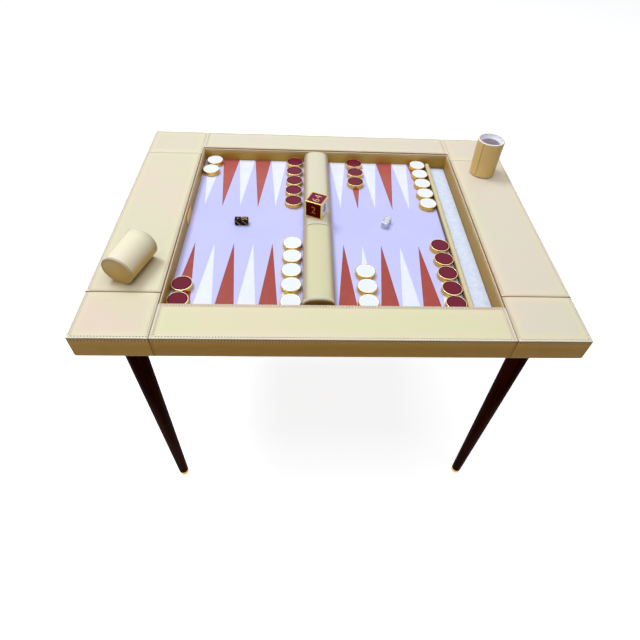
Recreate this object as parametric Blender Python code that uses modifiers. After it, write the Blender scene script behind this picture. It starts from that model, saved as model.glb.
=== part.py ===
"""Games table with a sunken backgammon field, on four turned legs, laid out for play.

Units are metres, +Z is up, and the origin is on the floor under the middle of the table.
X runs along the long side, and the front of the table is at -Y.
"""

from math import atan2, cos, pi, radians, sin

import bmesh
import bpy
from mathutils import Matrix, Vector

# Heights
TABLE_HEIGHT = 0.760
FRAME_HEIGHT = 0.057
FIELD_DROP = 0.034
FIELD_THICKNESS = 0.0130
BOTTOM_THICKNESS = 0.0075

# Plan of the frame
SIDE_PANEL_WIDTH = 0.150
END_PANEL_WIDTH = 0.089
CORNER_DEPTH = 0.1205
LINER_THICKNESS = 0.0037

# The game
CHECKER_DIAMETER = 0.045
CHECKER_THICKNESS = 0.012
CHECKERS_PER_POINT = 5
POINTS_PER_HALF = 6
POINT_SPARE = 0.0002
POINT_OVERRUN = 0.005
TIP_GAP = 0.146
FIELD_MARGIN = 0.0046
BAR_WIDTH = 0.069
DIVIDER_WIDTH = 0.0135
TRAY_SPARE = 0.0037
DIE_SIZE = 0.016
CUBE_SIZE = 0.042
CUP_HEIGHT = 0.097
CUP_BASE_RADIUS = 0.033
CUP_RIM_RADIUS = 0.0353

# Legs
LEG_TOP_RADIUS = 0.0241
LEG_FOOT_RADIUS = 0.0127
LEG_INSET_X = 0.068
LEG_INSET_Y = 0.0894
FERRULE_HEIGHT = 0.014

# Clearance between pieces that touch, the overrun of every cutter, and what counts as one point
FIT_GAP = 0.0003
CUT_OVERRUN = 0.002
WELD_DISTANCE = 0.00001

# Places that follow from the sizes above
POINT_PITCH = CHECKER_DIAMETER + POINT_SPARE
POINT_LENGTH = CHECKERS_PER_POINT * CHECKER_DIAMETER + POINT_OVERRUN
HALF_WIDTH = POINTS_PER_HALF * POINT_PITCH + 2 * FIELD_MARGIN
TRAY_WIDTH = CHECKER_DIAMETER + TRAY_SPARE
WELL_LENGTH = 2 * HALF_WIDTH + BAR_WIDTH + DIVIDER_WIDTH + TRAY_WIDTH
WELL_DEPTH = 2 * POINT_LENGTH + TIP_GAP
OPENING_LENGTH = WELL_LENGTH + 2 * (LINER_THICKNESS + FIT_GAP)
OPENING_DEPTH = WELL_DEPTH + 2 * (LINER_THICKNESS + FIT_GAP)
TOP_LENGTH = OPENING_LENGTH + 2 * SIDE_PANEL_WIDTH
TOP_DEPTH = OPENING_DEPTH + 2 * END_PANEL_WIDTH

FRAME_BOTTOM = TABLE_HEIGHT - FRAME_HEIGHT
FIELD_TOP = TABLE_HEIGHT - FIELD_DROP
FIELD_BOTTOM = FIELD_TOP - FIELD_THICKNESS
BOTTOM_BOARD_TOP = FIELD_BOTTOM - FIT_GAP

WELL_LEFT = -WELL_LENGTH / 2
WELL_RIGHT = WELL_LENGTH / 2
WELL_FRONT = -WELL_DEPTH / 2
WELL_BACK = WELL_DEPTH / 2
BAR_LEFT = WELL_LEFT + HALF_WIDTH
BAR_RIGHT = BAR_LEFT + BAR_WIDTH
DIVIDER_LEFT = BAR_RIGHT + HALF_WIDTH
DIVIDER_RIGHT = DIVIDER_LEFT + DIVIDER_WIDTH
LEG_X = TOP_LENGTH / 2 - LEG_INSET_X
LEG_Y = TOP_DEPTH / 2 - LEG_INSET_Y
CORNERS = [("front_left", -1, -1), ("front_right", 1, -1), ("back_left", -1, 1), ("back_right", 1, 1)]


def empty_scene():
    for item in list(bpy.data.objects):
        bpy.data.objects.remove(item, do_unlink=True)


def new_collection(name):
    collection = bpy.data.collections.new(name)
    bpy.context.scene.collection.children.link(collection)
    return collection


def new_material(name, colour, roughness, metallic):
    material = bpy.data.materials.new(name)
    material.use_nodes = True
    shader = material.node_tree.nodes["Principled BSDF"]
    shader.inputs["Base Color"].default_value = (*colour, 1)
    shader.inputs["Roughness"].default_value = roughness
    shader.inputs["Metallic"].default_value = metallic
    return material


def place(name, data, collection, material=None, location=(0, 0, 0), rotation=(0, 0, 0)):
    item = bpy.data.objects.new(name, data)
    item.location = location
    item.rotation_euler = rotation
    collection.objects.link(item)
    if material and material.name not in data.materials:
        data.materials.append(material)
    return item


def hide_cutter(item):
    item.hide_render = True
    item.display_type = "WIRE"


def cut_away(item, cutter):
    cut = item.modifiers.new("cut_" + cutter.name, "BOOLEAN")
    cut.operation = "DIFFERENCE"
    cut.object = cutter


# Rounded blocks

def block_mesh(name, size, wide_edges, wide_share):
    """A box whose edges carry bevel weights: full on the wide ones, a share of that on the rest."""
    mesh = bpy.data.meshes.new(name)
    shape = bmesh.new()
    bmesh.ops.create_cube(shape, size=1)
    weight = shape.edges.layers.float.new("bevel_weight_edge")
    for edge in shape.edges:
        middle = (edge.verts[0].co + edge.verts[1].co) / 2
        side = tuple(round(2 * value) for value in middle)
        edge[weight] = 1 if side in wide_edges else wide_share
    bmesh.ops.scale(shape, vec=size, verts=shape.verts)
    shape.to_mesh(mesh)
    shape.free()
    return mesh


def add_block(name, low, high, material, fine_radius, wide_radius=None, wide_edges=(), segments=2):
    """A box between two corners, with finely rounded edges and, where named, widely rounded ones.

    An edge is named by the sides that it lies between: (0, -1, 1) is the front top edge.
    """
    wide_radius = wide_radius or fine_radius
    size = Vector(high) - Vector(low)
    centre = (Vector(high) + Vector(low)) / 2
    mesh = block_mesh(name, size, wide_edges, fine_radius / wide_radius)
    item = place(name, mesh, parts, material, centre)
    bevel = item.modifiers.new("rounding", "BEVEL")
    bevel.width = wide_radius
    bevel.segments = segments
    bevel.limit_method = "WEIGHT"
    return item


# Turned shapes

def turned_object(name, outline, material, steps, location=(0, 0, 0)):
    """Turns an outline of (radius, height) points about Z. It runs down the outer side, from axis to axis."""
    mesh = bpy.data.meshes.new(name)
    shape = bmesh.new()
    verts = [shape.verts.new((radius, 0, height)) for radius, height in outline]
    for first, second in zip(verts, verts[1:]):
        shape.edges.new((first, second))
    shape.to_mesh(mesh)
    shape.free()
    item = place(name, mesh, parts, material, location)
    screw = item.modifiers.new("turning", "SCREW")
    screw.steps = steps
    screw.render_steps = steps
    screw.use_merge_vertices = True
    screw.merge_threshold = WELD_DISTANCE
    bpy.context.view_layer.update()
    to_plain_mesh(item)
    smooth_round(item)
    return item


def to_plain_mesh(item):
    """Replaces an object's mesh by its evaluated one and drops the modifiers."""
    evaluated = item.evaluated_get(bpy.context.evaluated_depsgraph_get())
    mesh = bpy.data.meshes.new_from_object(evaluated)
    mesh.name = item.name
    item.modifiers.clear()
    item.data = mesh


def smooth_round(item, sharp_angle=radians(40)):
    item.data.shade_smooth()
    item.data.set_sharp_from_angle(angle=sharp_angle)


# Frame

PANEL_EDGE_RADIUS = 0.0012
FRAME_FOOT_RADIUS = 0.008


def add_panels(leather):
    half_length, half_depth = TOP_LENGTH / 2, TOP_DEPTH / 2
    open_x, open_y = OPENING_LENGTH / 2, OPENING_DEPTH / 2
    seam_x = open_x - FIT_GAP / 2
    seam_y = half_depth - CORNER_DEPTH - FIT_GAP / 2
    for name, side in (("front_panel", -1), ("back_panel", 1)):
        ends = sorted((side * open_y, side * half_depth))
        add_block(name, (-seam_x, ends[0], FRAME_BOTTOM), (seam_x, ends[1], TABLE_HEIGHT), leather,
                  PANEL_EDGE_RADIUS, FRAME_FOOT_RADIUS, [(0, side, -1)], segments=3)
    for name, side in (("left_panel", -1), ("right_panel", 1)):
        ends = sorted((side * open_x, side * half_length))
        add_block(name, (ends[0], -seam_y, FRAME_BOTTOM), (ends[1], seam_y, TABLE_HEIGHT), leather,
                  PANEL_EDGE_RADIUS, FRAME_FOOT_RADIUS, [(side, 0, -1)], segments=3)


def add_corner_blocks(leather):
    half_length, half_depth = TOP_LENGTH / 2, TOP_DEPTH / 2
    inner_x = OPENING_LENGTH / 2 + FIT_GAP / 2
    inner_y = half_depth - CORNER_DEPTH + FIT_GAP / 2
    for name, side_x, side_y in CORNERS:
        span_x = sorted((side_x * inner_x, side_x * half_length))
        span_y = sorted((side_y * inner_y, side_y * half_depth))
        block = add_block("corner_" + name, (span_x[0], span_y[0], FRAME_BOTTOM),
                          (span_x[1], span_y[1], TABLE_HEIGHT), leather, PANEL_EDGE_RADIUS,
                          FRAME_FOOT_RADIUS, [(side_x, 0, -1), (0, side_y, -1)], segments=3)
        cut_away(block, bolt_hole(name, side_x * LEG_X, side_y * LEG_Y))


# Legs, each with its hanger bolt, and their ferrules

BOLT_RADIUS = 0.005
BOLT_REACH = 0.030
BOLT_STEPS = 16
FERRULE_WALL = 0.0014
FERRULE_FLOOR = 0.003
FERRULE_CHAMFER = 0.0012
LEG_STEPS = 28


def bolt_hole(corner_name, x, y):
    """The hole in a corner block that takes the leg's hanger bolt."""
    depth = BOLT_REACH + FIT_GAP + CUT_OVERRUN
    mesh = bpy.data.meshes.new("bolt_hole_" + corner_name)
    shape = bmesh.new()
    bmesh.ops.create_cone(shape, cap_ends=True, segments=BOLT_STEPS, radius1=BOLT_RADIUS + FIT_GAP,
                          radius2=BOLT_RADIUS + FIT_GAP, depth=depth)
    shape.to_mesh(mesh)
    shape.free()
    hole = place(mesh.name, mesh, cutters, location=(x, y, FRAME_BOTTOM - CUT_OVERRUN + depth / 2))
    hide_cutter(hole)
    return hole


def leg_radius(height):
    """The outer radius of the straight taper at a height above the floor."""
    return LEG_FOOT_RADIUS + (LEG_TOP_RADIUS - LEG_FOOT_RADIUS) * height / FRAME_BOTTOM


def leg_outline():
    """The hanger bolt, the shoulder under the frame, the taper and the spigot inside the ferrule."""
    top = FRAME_BOTTOM - FIT_GAP
    bolt_top = FRAME_BOTTOM + BOLT_REACH
    shoulder = FERRULE_HEIGHT + FIT_GAP
    spigot_radius = leg_radius(FERRULE_HEIGHT) - FERRULE_WALL - FIT_GAP
    spigot_bottom = FERRULE_FLOOR + FIT_GAP
    return [(0, bolt_top), (BOLT_RADIUS, bolt_top), (BOLT_RADIUS, top), (LEG_TOP_RADIUS, top),
            (leg_radius(shoulder), shoulder), (spigot_radius, shoulder), (spigot_radius, spigot_bottom),
            (0, spigot_bottom)]


def ferrule_outline():
    """A brass cup that carries on the leg's taper down to the floor."""
    outer = leg_radius(FERRULE_HEIGHT)
    inner = outer - FERRULE_WALL
    return [(0, FERRULE_FLOOR), (inner, FERRULE_FLOOR), (inner, FERRULE_HEIGHT), (outer, FERRULE_HEIGHT),
            (leg_radius(FERRULE_CHAMFER), FERRULE_CHAMFER), (leg_radius(0) - FERRULE_CHAMFER, 0), (0, 0)]


def add_legs(walnut, brass):
    for name, side_x, side_y in CORNERS:
        foot = (side_x * LEG_X, side_y * LEG_Y, 0)
        turned_object("leg_" + name, leg_outline(), walnut, LEG_STEPS, foot)
        turned_object("ferrule_" + name, ferrule_outline(), brass, LEG_STEPS, foot)


# Well: liner, bottom board, playing field with its points, divider and felt

LINER_DROP = 0.0027
LINER_LIP_RADIUS = 0.0012
BOARD_EDGE_RADIUS = 0.0006


def add_recess_liner(leather):
    """Upright boards round the opening, standing on the bottom board, with a rounded lip."""
    height = TABLE_HEIGHT - LINER_DROP - FIELD_BOTTOM
    mesh = bpy.data.meshes.new("recess_liner")
    shape = bmesh.new()
    bmesh.ops.create_cube(shape, size=1)
    ends = [face for face in shape.faces if abs(face.normal.z) > 0.5]
    bmesh.ops.delete(shape, geom=ends, context="FACES_ONLY")
    bmesh.ops.scale(shape, vec=(WELL_LENGTH + 2 * LINER_THICKNESS, WELL_DEPTH + 2 * LINER_THICKNESS, height),
                    verts=shape.verts)
    shape.to_mesh(mesh)
    shape.free()
    item = place("recess_liner", mesh, parts, leather, (0, 0, FIELD_BOTTOM + height / 2))
    wall = item.modifiers.new("wall", "SOLIDIFY")
    wall.thickness = LINER_THICKNESS
    wall.offset = -1
    wall.use_even_offset = True
    lip = item.modifiers.new("lip", "BEVEL")
    lip.width = LINER_LIP_RADIUS
    lip.segments = 2
    lip.limit_method = "ANGLE"


def add_bottom_board(wood):
    half_x, half_y = OPENING_LENGTH / 2 - FIT_GAP, OPENING_DEPTH / 2 - FIT_GAP
    add_block("bottom_board", (-half_x, -half_y, BOTTOM_BOARD_TOP - BOTTOM_THICKNESS),
              (half_x, half_y, BOTTOM_BOARD_TOP), wood, BOARD_EDGE_RADIUS, segments=1)


POINT_EDGE_LAND = 0.0012
POINT_SIDE_LAND = 0.0006
POINT_POCKET_DEPTH = 0.0010


def point_middles():
    """The middles of the six points of each half, from left to right."""
    starts = (WELL_LEFT + FIELD_MARGIN, BAR_RIGHT + FIELD_MARGIN)
    return [[start + (index + 0.5) * POINT_PITCH for index in range(POINTS_PER_HALF)] for start in starts]


def point_outlines():
    """Every point's triangle: its base near the front or back wall, its tip towards the middle."""
    half_base = (POINT_PITCH - POINT_SIDE_LAND) / 2
    base_y = WELL_BACK - POINT_EDGE_LAND
    tip_y = WELL_BACK - POINT_LENGTH
    outlines = []
    for middle in sum(point_middles(), []):
        for side in (-1, 1):
            outlines.append([(middle - half_base, side * base_y), (middle + half_base, side * base_y),
                             (middle, side * tip_y)])
    return outlines


def pocket_cutter(outlines):
    """Flat prisms over the outlines, from the pockets' floor to above the field."""
    depth = POINT_POCKET_DEPTH + CUT_OVERRUN
    curve = bpy.data.curves.new("point_pockets", "CURVE")
    curve.dimensions = "2D"
    curve.fill_mode = "BOTH"
    curve.extrude = depth / 2
    for outline in outlines:
        spline = curve.splines.new("POLY")
        spline.points.add(len(outline) - 1)
        for point, (x, y) in zip(spline.points, outline):
            point.co = (x, y, 0, 1)
        spline.use_cyclic_u = True
    flat = place("point_pockets", curve, cutters, location=(0, 0, FIELD_TOP + CUT_OVERRUN - depth / 2))
    bpy.context.view_layer.update()
    cutter = curve_to_mesh(flat)
    hide_cutter(cutter)
    return cutter


def curve_to_mesh(item):
    """Turns a curve object into a welded mesh object of the same name and place."""
    name, collection, matrix = item.name, item.users_collection[0], item.matrix_world.copy()
    evaluated = item.evaluated_get(bpy.context.evaluated_depsgraph_get())
    mesh = bpy.data.meshes.new_from_object(evaluated)
    shape = bmesh.new()
    shape.from_mesh(mesh)
    bmesh.ops.remove_doubles(shape, verts=shape.verts, dist=WELD_DISTANCE)
    shape.to_mesh(mesh)
    shape.free()
    curve = item.data
    bpy.data.objects.remove(item, do_unlink=True)
    bpy.data.curves.remove(curve)
    item = place(name, mesh, collection)
    item.matrix_world = matrix
    return item


def add_playing_field(leather):
    field = add_block("playing_field", (WELL_LEFT + FIT_GAP, WELL_FRONT + FIT_GAP, FIELD_BOTTOM),
                      (DIVIDER_LEFT - FIT_GAP, WELL_BACK - FIT_GAP, FIELD_TOP), leather,
                      BOARD_EDGE_RADIUS, segments=1)
    cut_away(field, pocket_cutter(point_outlines()))


DIVIDER_HEIGHT = 0.025
DIVIDER_TOP_RADIUS = 0.006
DIVIDER_END_GAP = 0.010
FELT_THICKNESS = 0.002


def add_tray(leather, felt):
    add_block("tray_divider", (DIVIDER_LEFT, WELL_FRONT + FIT_GAP, FIELD_BOTTOM),
              (DIVIDER_RIGHT, WELL_BACK - DIVIDER_END_GAP, FIELD_BOTTOM + DIVIDER_HEIGHT), leather,
              LINER_LIP_RADIUS, DIVIDER_TOP_RADIUS, [(-1, 0, 1), (1, 0, 1), (0, 1, 1)], segments=3)
    add_block("tray_felt", (DIVIDER_RIGHT + FIT_GAP, WELL_FRONT + FIT_GAP, FIELD_BOTTOM),
              (WELL_RIGHT - FIT_GAP, WELL_BACK - FIT_GAP, FIELD_BOTTOM + FELT_THICKNESS), felt,
              BOARD_EDGE_RADIUS, segments=1)


# Centre bar, in two halves that lift out

BAR_DROP = 0.002
BAR_ARCH_RISE = 0.022
BAR_ARCH_FULLNESS = 2.5
BAR_ARCH_STEPS = 16
BAR_END_RADIUS = 0.003
BAR_FINGER_GAP = 0.015
BAR_SEAM_Y = -0.035


def bar_section():
    """The bar's cross-section: from the left foot up its side, over a full arch and down to the right foot."""
    foot = FIELD_TOP + FIT_GAP
    spring = TABLE_HEIGHT - BAR_DROP - BAR_ARCH_RISE
    middle = (BAR_LEFT + BAR_RIGHT) / 2
    power = 2 / BAR_ARCH_FULLNESS
    points = [(BAR_LEFT, foot), (BAR_LEFT, spring)]
    for step in range(1, BAR_ARCH_STEPS):
        turn = pi * step / BAR_ARCH_STEPS
        side = -1 if step < BAR_ARCH_STEPS / 2 else 1
        across = side * abs(cos(turn)) ** power
        points.append((middle + across * BAR_WIDTH / 2, spring + BAR_ARCH_RISE * sin(turn) ** power))
    return points + [(BAR_RIGHT, spring), (BAR_RIGHT, foot)]


def add_bar_half(name, near, far, leather):
    """The section drawn out along Y between two places, with both ends rounded over the arch and the sides."""
    mesh = bpy.data.meshes.new(name)
    shape = bmesh.new()
    front, back = [[shape.verts.new((x, y, z)) for x, z in bar_section()] for y in (near, far)]
    shape.faces.new(front)
    shape.faces.new(back)
    for corners in zip(front, front[1:] + front[:1], back[1:] + back[:1], back):
        shape.faces.new(corners)
    bmesh.ops.recalc_face_normals(shape, faces=shape.faces)
    weight = shape.edges.layers.float.new("bevel_weight_edge")
    for row in (front, back):
        for pair in zip(row, row[1:]):
            shape.edges.get(pair)[weight] = 1
    shape.to_mesh(mesh)
    shape.free()
    bar = place(name, mesh, parts, leather)
    bevel = bar.modifiers.new("rounding", "BEVEL")
    bevel.width = BAR_END_RADIUS
    bevel.segments = 3
    bevel.limit_method = "WEIGHT"
    smooth_round(bar)


def add_bar(leather):
    add_bar_half("bar_front", WELL_FRONT + BAR_FINGER_GAP, BAR_SEAM_Y - FIT_GAP / 2, leather)
    add_bar_half("bar_back", BAR_SEAM_Y + FIT_GAP / 2, WELL_BACK - FIT_GAP, leather)


# Checkers

CHECKER_EDGE = 0.0008
CHECKER_RIM = 0.0015
CHECKER_RECESS = 0.0005
CHECKER_SPACING = 0.0027
CHECKER_STEPS = 24
FRONT_WALL_SPACE = 0.0065

# Each column: colour, half (0 left, 1 right), point from the left, side of the table, and how far each
# checker sits off its place along X and Y, as shares of the checker's diameter
CHECKER_COLUMN_SHARES = [
    ("white", 0, 0, 1, [(0.05, 0.0), (-0.06, 0.02)]),
    ("maroon", 0, 5, 1, [(0.03, 0.0), (0.02, 0.01), (0.03, 0.02), (0.01, 0.0), (0.02, 0.0)]),
    ("maroon", 1, 1, 1, [(0.02, 0.0), (0.03, 0.0), (-0.02, -0.01)]),
    ("white", 1, 5, 1, [(0.08, 0.0), (0.09, -0.01), (0.09, 0.0), (0.08, 0.01), (0.09, -0.01)]),
    ("maroon", 0, 0, -1, [(-0.08, 0.02), (-0.07, 0.03)]),
    ("white", 0, 5, -1, [(0.05, -0.02), (0.05, 0.05), (0.04, 0.03), (0.05, 0.02), (0.05, 0.0)]),
    ("white", 1, 1, -1, [(-0.05, 0.02), (-0.03, 0.01), (-0.04, 0.02)]),
    ("maroon", 1, 5, -1, [(0.07, -0.01), (0.08, -0.06), (0.07, -0.03), (0.08, -0.02), (0.07, 0.0)]),
]


def checker_outline():
    radius, edge = CHECKER_DIAMETER / 2, CHECKER_EDGE
    floor = CHECKER_THICKNESS - CHECKER_RECESS
    return [(0, floor), (radius - CHECKER_RIM, floor), (radius - CHECKER_RIM, CHECKER_THICKNESS),
            (radius - edge, CHECKER_THICKNESS), (radius, CHECKER_THICKNESS - edge), (radius, edge),
            (radius - edge, 0), (0, 0)]


def add_checkers(finishes):
    seat = FIELD_TOP + FIT_GAP
    pitch = CHECKER_DIAMETER + CHECKER_SPACING
    radius = CHECKER_DIAMETER / 2
    wall_space = {1: radius + FIT_GAP, -1: radius + FRONT_WALL_SPACE}
    meshes = {}
    for colour, material in finishes.items():
        pattern = turned_object("checker_" + colour, checker_outline(), material, CHECKER_STEPS)
        meshes[colour] = pattern.data
        bpy.data.objects.remove(pattern, do_unlink=True)
    counts = dict.fromkeys(meshes, 0)
    middles = point_middles()
    for colour, half, point, side, shift_shares in CHECKER_COLUMN_SHARES:
        for index, (share_x, share_y) in enumerate(shift_shares):
            counts[colour] += 1
            from_middle = WELL_DEPTH / 2 - wall_space[side] - index * pitch
            location = (middles[half][point] + share_x * CHECKER_DIAMETER,
                        side * from_middle - side * share_y * CHECKER_DIAMETER, seat)
            place(f"checker_{colour}_{counts[colour]:02d}", meshes[colour], parts, location=location)


# Dice and doubling cube

DIE_ROUNDING = 0.0022
DICE_SPACING = 0.001
BLACK_DICE_SHIFT_X = -0.0112
BLACK_DICE_Y = 0.0015
WHITE_DICE_SHIFT_X = -0.0057
WHITE_DICE_Y = -0.0012
WHITE_DICE_SLIP = 0.0035
WHITE_DICE_TURN = radians(-35)
CUBE_ROUNDING = 0.0008
CUBE_SHIFT_X = -0.0027
CUBE_Y = 0.007
CUBE_TURN = radians(-24.2)


def add_cube_shape(name, size, rounding, material, place_xy, seat, turn, segments):
    half = size / 2
    item = add_block(name, (-half, -half, -half), (half, half, half), material, rounding, segments=segments)
    item.location = (*place_xy, seat + half)
    item.rotation_euler = (0, 0, turn)
    smooth_round(item)


def add_dice(black, white):
    seat = FIELD_TOP + FIT_GAP
    step = DIE_SIZE + DICE_SPACING
    left_middle = WELL_LEFT + HALF_WIDTH / 2 + BLACK_DICE_SHIFT_X
    for index, share in enumerate((-0.5, 0.5)):
        add_cube_shape(f"die_black_{index + 1}", DIE_SIZE, DIE_ROUNDING, black,
                       (left_middle + share * step, BLACK_DICE_Y), seat, 0, segments=3)
    near = Vector((BAR_RIGHT + HALF_WIDTH / 2 + WHITE_DICE_SHIFT_X, WHITE_DICE_Y))
    across = Vector((cos(WHITE_DICE_TURN), sin(WHITE_DICE_TURN)))
    along = Vector((-sin(WHITE_DICE_TURN), cos(WHITE_DICE_TURN)))
    far = near + along * step - across * WHITE_DICE_SLIP
    for index, spot in enumerate((near, far)):
        add_cube_shape(f"die_white_{index + 1}", DIE_SIZE, DIE_ROUNDING, white, spot, seat,
                       WHITE_DICE_TURN, segments=3)


def add_doubling_cube(enamel):
    bar_middle = (BAR_LEFT + BAR_RIGHT) / 2
    add_cube_shape("doubling_cube", CUBE_SIZE, CUBE_ROUNDING, enamel, (bar_middle + CUBE_SHIFT_X, CUBE_Y),
                   TABLE_HEIGHT - BAR_DROP + FIT_GAP, CUBE_TURN, segments=1)


# Dice cups

CUP_WALL = 0.0030
CUP_FLOOR = 0.004
CUP_EDGE = 0.0010
CUP_LIP_DEPTH = 0.008
CUP_LIP_HEIGHT = 0.005
CUP_LIP_WIDTH = 0.0028
CUP_STEPS = 40
STANDING_CUP_INSET_X = 0.074
STANDING_CUP_INSET_Y = 0.186
LYING_CUP_INSET_X = 0.0652
LYING_CUP_INSET_Y = 0.1431
LYING_CUP_TURN = radians(72.4)


def cup_radius(height):
    """The outer radius of the flared wall at a height above the cup's base."""
    return CUP_BASE_RADIUS + (CUP_RIM_RADIUS - CUP_BASE_RADIUS) * height / CUP_HEIGHT


def cup_outline():
    """Inner floor, inner wall with the tripping lip below the rim, then the outer side down to the base."""
    lip_top = CUP_HEIGHT - CUP_LIP_DEPTH
    lip_bottom = lip_top - CUP_LIP_HEIGHT
    inner = [(cup_radius(height) - CUP_WALL, height) for height in (CUP_FLOOR, lip_bottom, lip_top, CUP_HEIGHT)]
    lip = [(cup_radius(height) - CUP_WALL - CUP_LIP_WIDTH, height) for height in (lip_bottom, lip_top)]
    outer = [(cup_radius(CUP_HEIGHT) - CUP_EDGE, CUP_HEIGHT), (CUP_RIM_RADIUS, CUP_HEIGHT - CUP_EDGE),
             (cup_radius(CUP_EDGE), CUP_EDGE), (CUP_BASE_RADIUS - CUP_EDGE, 0), (0, 0)]
    return [(0, CUP_FLOOR)] + inner[:2] + lip + inner[2:] + outer


def add_dice_cups(leather):
    cup = turned_object("dice_cup_standing", cup_outline(), leather, CUP_STEPS,
                        (TOP_LENGTH / 2 - STANDING_CUP_INSET_X, TOP_DEPTH / 2 - STANDING_CUP_INSET_Y,
                         TABLE_HEIGHT + FIT_GAP))
    # The flared side touches the leather all along, so the axis of the lying cup rises towards its mouth
    rise = atan2(CUP_RIM_RADIUS - CUP_BASE_RADIUS, CUP_HEIGHT)
    lying = place("dice_cup_lying", cup.data, parts)
    lean = Matrix.Rotation(LYING_CUP_TURN, 4, "Z") @ Matrix.Rotation(pi / 2 - rise, 4, "Y")
    lying.rotation_euler = lean.to_euler()
    lying.location = (-TOP_LENGTH / 2 + LYING_CUP_INSET_X, -TOP_DEPTH / 2 + LYING_CUP_INSET_Y,
                      TABLE_HEIGHT + FIT_GAP + CUP_BASE_RADIUS * cos(rise))


empty_scene()
parts = new_collection("tric_trac_table")
cutters = new_collection("cutters")

ivory_leather = new_material("ivory_leather", (0.80, 0.72, 0.54), 0.55, 0)
lilac_leather = new_material("lilac_leather", (0.62, 0.64, 0.88), 0.50, 0)
grey_felt = new_material("grey_felt", (0.74, 0.75, 0.80), 0.95, 0)
walnut = new_material("walnut", (0.045, 0.014, 0.010), 0.30, 0)
birch_board = new_material("birch_board", (0.55, 0.40, 0.24), 0.60, 0)
brass = new_material("brass", (0.80, 0.60, 0.22), 0.22, 1)
white_enamel = new_material("white_enamel", (0.86, 0.88, 0.90), 0.25, 0)
maroon_enamel = new_material("maroon_enamel", (0.19, 0.02, 0.06), 0.25, 0)
black_resin = new_material("black_resin", (0.01, 0.01, 0.015), 0.15, 0)
white_resin = new_material("white_resin", (0.86, 0.90, 0.95), 0.20, 0)

add_panels(ivory_leather)
add_corner_blocks(ivory_leather)
add_legs(walnut, brass)
add_recess_liner(ivory_leather)
add_bottom_board(birch_board)
add_playing_field(lilac_leather)
add_tray(ivory_leather, grey_felt)
add_bar(ivory_leather)
add_checkers({"white": white_enamel, "maroon": maroon_enamel})
add_dice(black_resin, white_resin)
add_doubling_cube(maroon_enamel)
add_dice_cups(ivory_leather)
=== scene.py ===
from contextlib import contextmanager
from math import atan2, cos, exp, pi, radians, sin

import bmesh
import bpy
import numpy as np
from mathutils import Matrix, Vector


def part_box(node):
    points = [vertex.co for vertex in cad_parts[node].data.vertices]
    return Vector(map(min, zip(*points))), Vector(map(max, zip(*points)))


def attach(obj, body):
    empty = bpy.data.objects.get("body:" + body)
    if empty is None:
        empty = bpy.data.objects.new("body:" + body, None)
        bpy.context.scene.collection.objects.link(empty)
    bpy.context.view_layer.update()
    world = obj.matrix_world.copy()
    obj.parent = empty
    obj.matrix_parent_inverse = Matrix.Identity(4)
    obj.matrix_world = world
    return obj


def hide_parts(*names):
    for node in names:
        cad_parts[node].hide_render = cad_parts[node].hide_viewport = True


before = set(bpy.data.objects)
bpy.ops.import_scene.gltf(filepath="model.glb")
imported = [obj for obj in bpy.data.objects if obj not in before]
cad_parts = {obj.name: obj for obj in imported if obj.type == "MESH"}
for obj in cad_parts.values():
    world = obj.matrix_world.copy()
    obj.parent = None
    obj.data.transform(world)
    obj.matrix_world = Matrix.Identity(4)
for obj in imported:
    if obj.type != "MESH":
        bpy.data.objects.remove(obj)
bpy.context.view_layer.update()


# The top is a frame of eight boards, four long panels and four corner blocks. Each is a wooden core under
# thin wadding, wrapped in pearl-finished ivory leather that is sewn down along its edges, so it crowns a
# little in its middle and dips at the seams. The leather turns over the outer edges and is sewn again on the
# apron.

ivory_flat = (0.755, 0.72, 0.60, 1)
ivory_upright_shade = (0.57, 0.335, 0.018, 1)
ivory_lit_band = (0.82, 0.765, 0.55, 1)
ivory_rose = (0.80, 0.68, 0.545, 1)
ivory_straw = (0.77, 0.755, 0.49, 1)
rose_cloud = (1.05, 0.96, 0.975, 1)
straw_cloud = (0.975, 1.0, 0.91, 1)
highlight_cream = (0.93, 0.90, 0.80, 1)
shade_and_edge_brown = (0.21, 0.070, 0.012, 1)
LEATHER_ROUGHNESS = 0.46
LEATHER_GLOSS = 0.22
STEEPEST = 0.10
FLATTEST = 0.97
GRAIN_SIZE = 0.0011
GRAIN_DEPTH = 0.00012


def feed(tree, node, inputs):
    """Feeds a node's inputs by name or place: a value is set, and another node's socket is linked."""
    for name, value in inputs.items():
        if isinstance(value, bpy.types.NodeSocket):
            tree.links.new(value, node.inputs[name])
        else:
            node.inputs[name].default_value = value


def add_node(tree, kind, inputs=None, **settings):
    """Adds a shader node with its settings, feeds its inputs and gives its outputs."""
    node = tree.nodes.new("ShaderNode" + kind)
    for name, value in settings.items():
        setattr(node, name, value)
    feed(tree, node, inputs or {})
    return node.outputs


def mix_colours(tree, mask, first, second, method="MIX"):
    """Mixes two colours by a mask. The sockets go by place, since the node has several of each name."""
    return add_node(tree, "Mix", {0: mask, 6: first, 7: second}, data_type="RGBA", blend_type=method)[2]


def work_out(tree, operation, *values):
    """Does one sum on values or sockets."""
    return add_node(tree, "Math", dict(enumerate(values)), operation=operation)[0]


def times(tree, first, second):
    """Multiplies two values or sockets."""
    return work_out(tree, "MULTIPLY", first, second)


def plus(tree, first, second):
    """Adds two values or sockets."""
    return work_out(tree, "ADD", first, second)


def spread(tree, value, from_low, from_high, to_low=0.0, to_high=1.0):
    """Eases a value from one range into another, and keeps it there."""
    inputs = {"Value": value, "From Min": from_low, "From Max": from_high, "To Min": to_low,
              "To Max": to_high}
    return add_node(tree, "MapRange", inputs, interpolation_type="SMOOTHSTEP")["Result"]


def noise(tree, vector, scale, detail=3.0, roughness=0.5):
    """Plain noise at a vector, between 0 and 1."""
    inputs = {"Vector": vector, "Scale": scale, "Detail": detail, "Roughness": roughness}
    return add_node(tree, "TexNoise", inputs)["Fac"]


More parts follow.
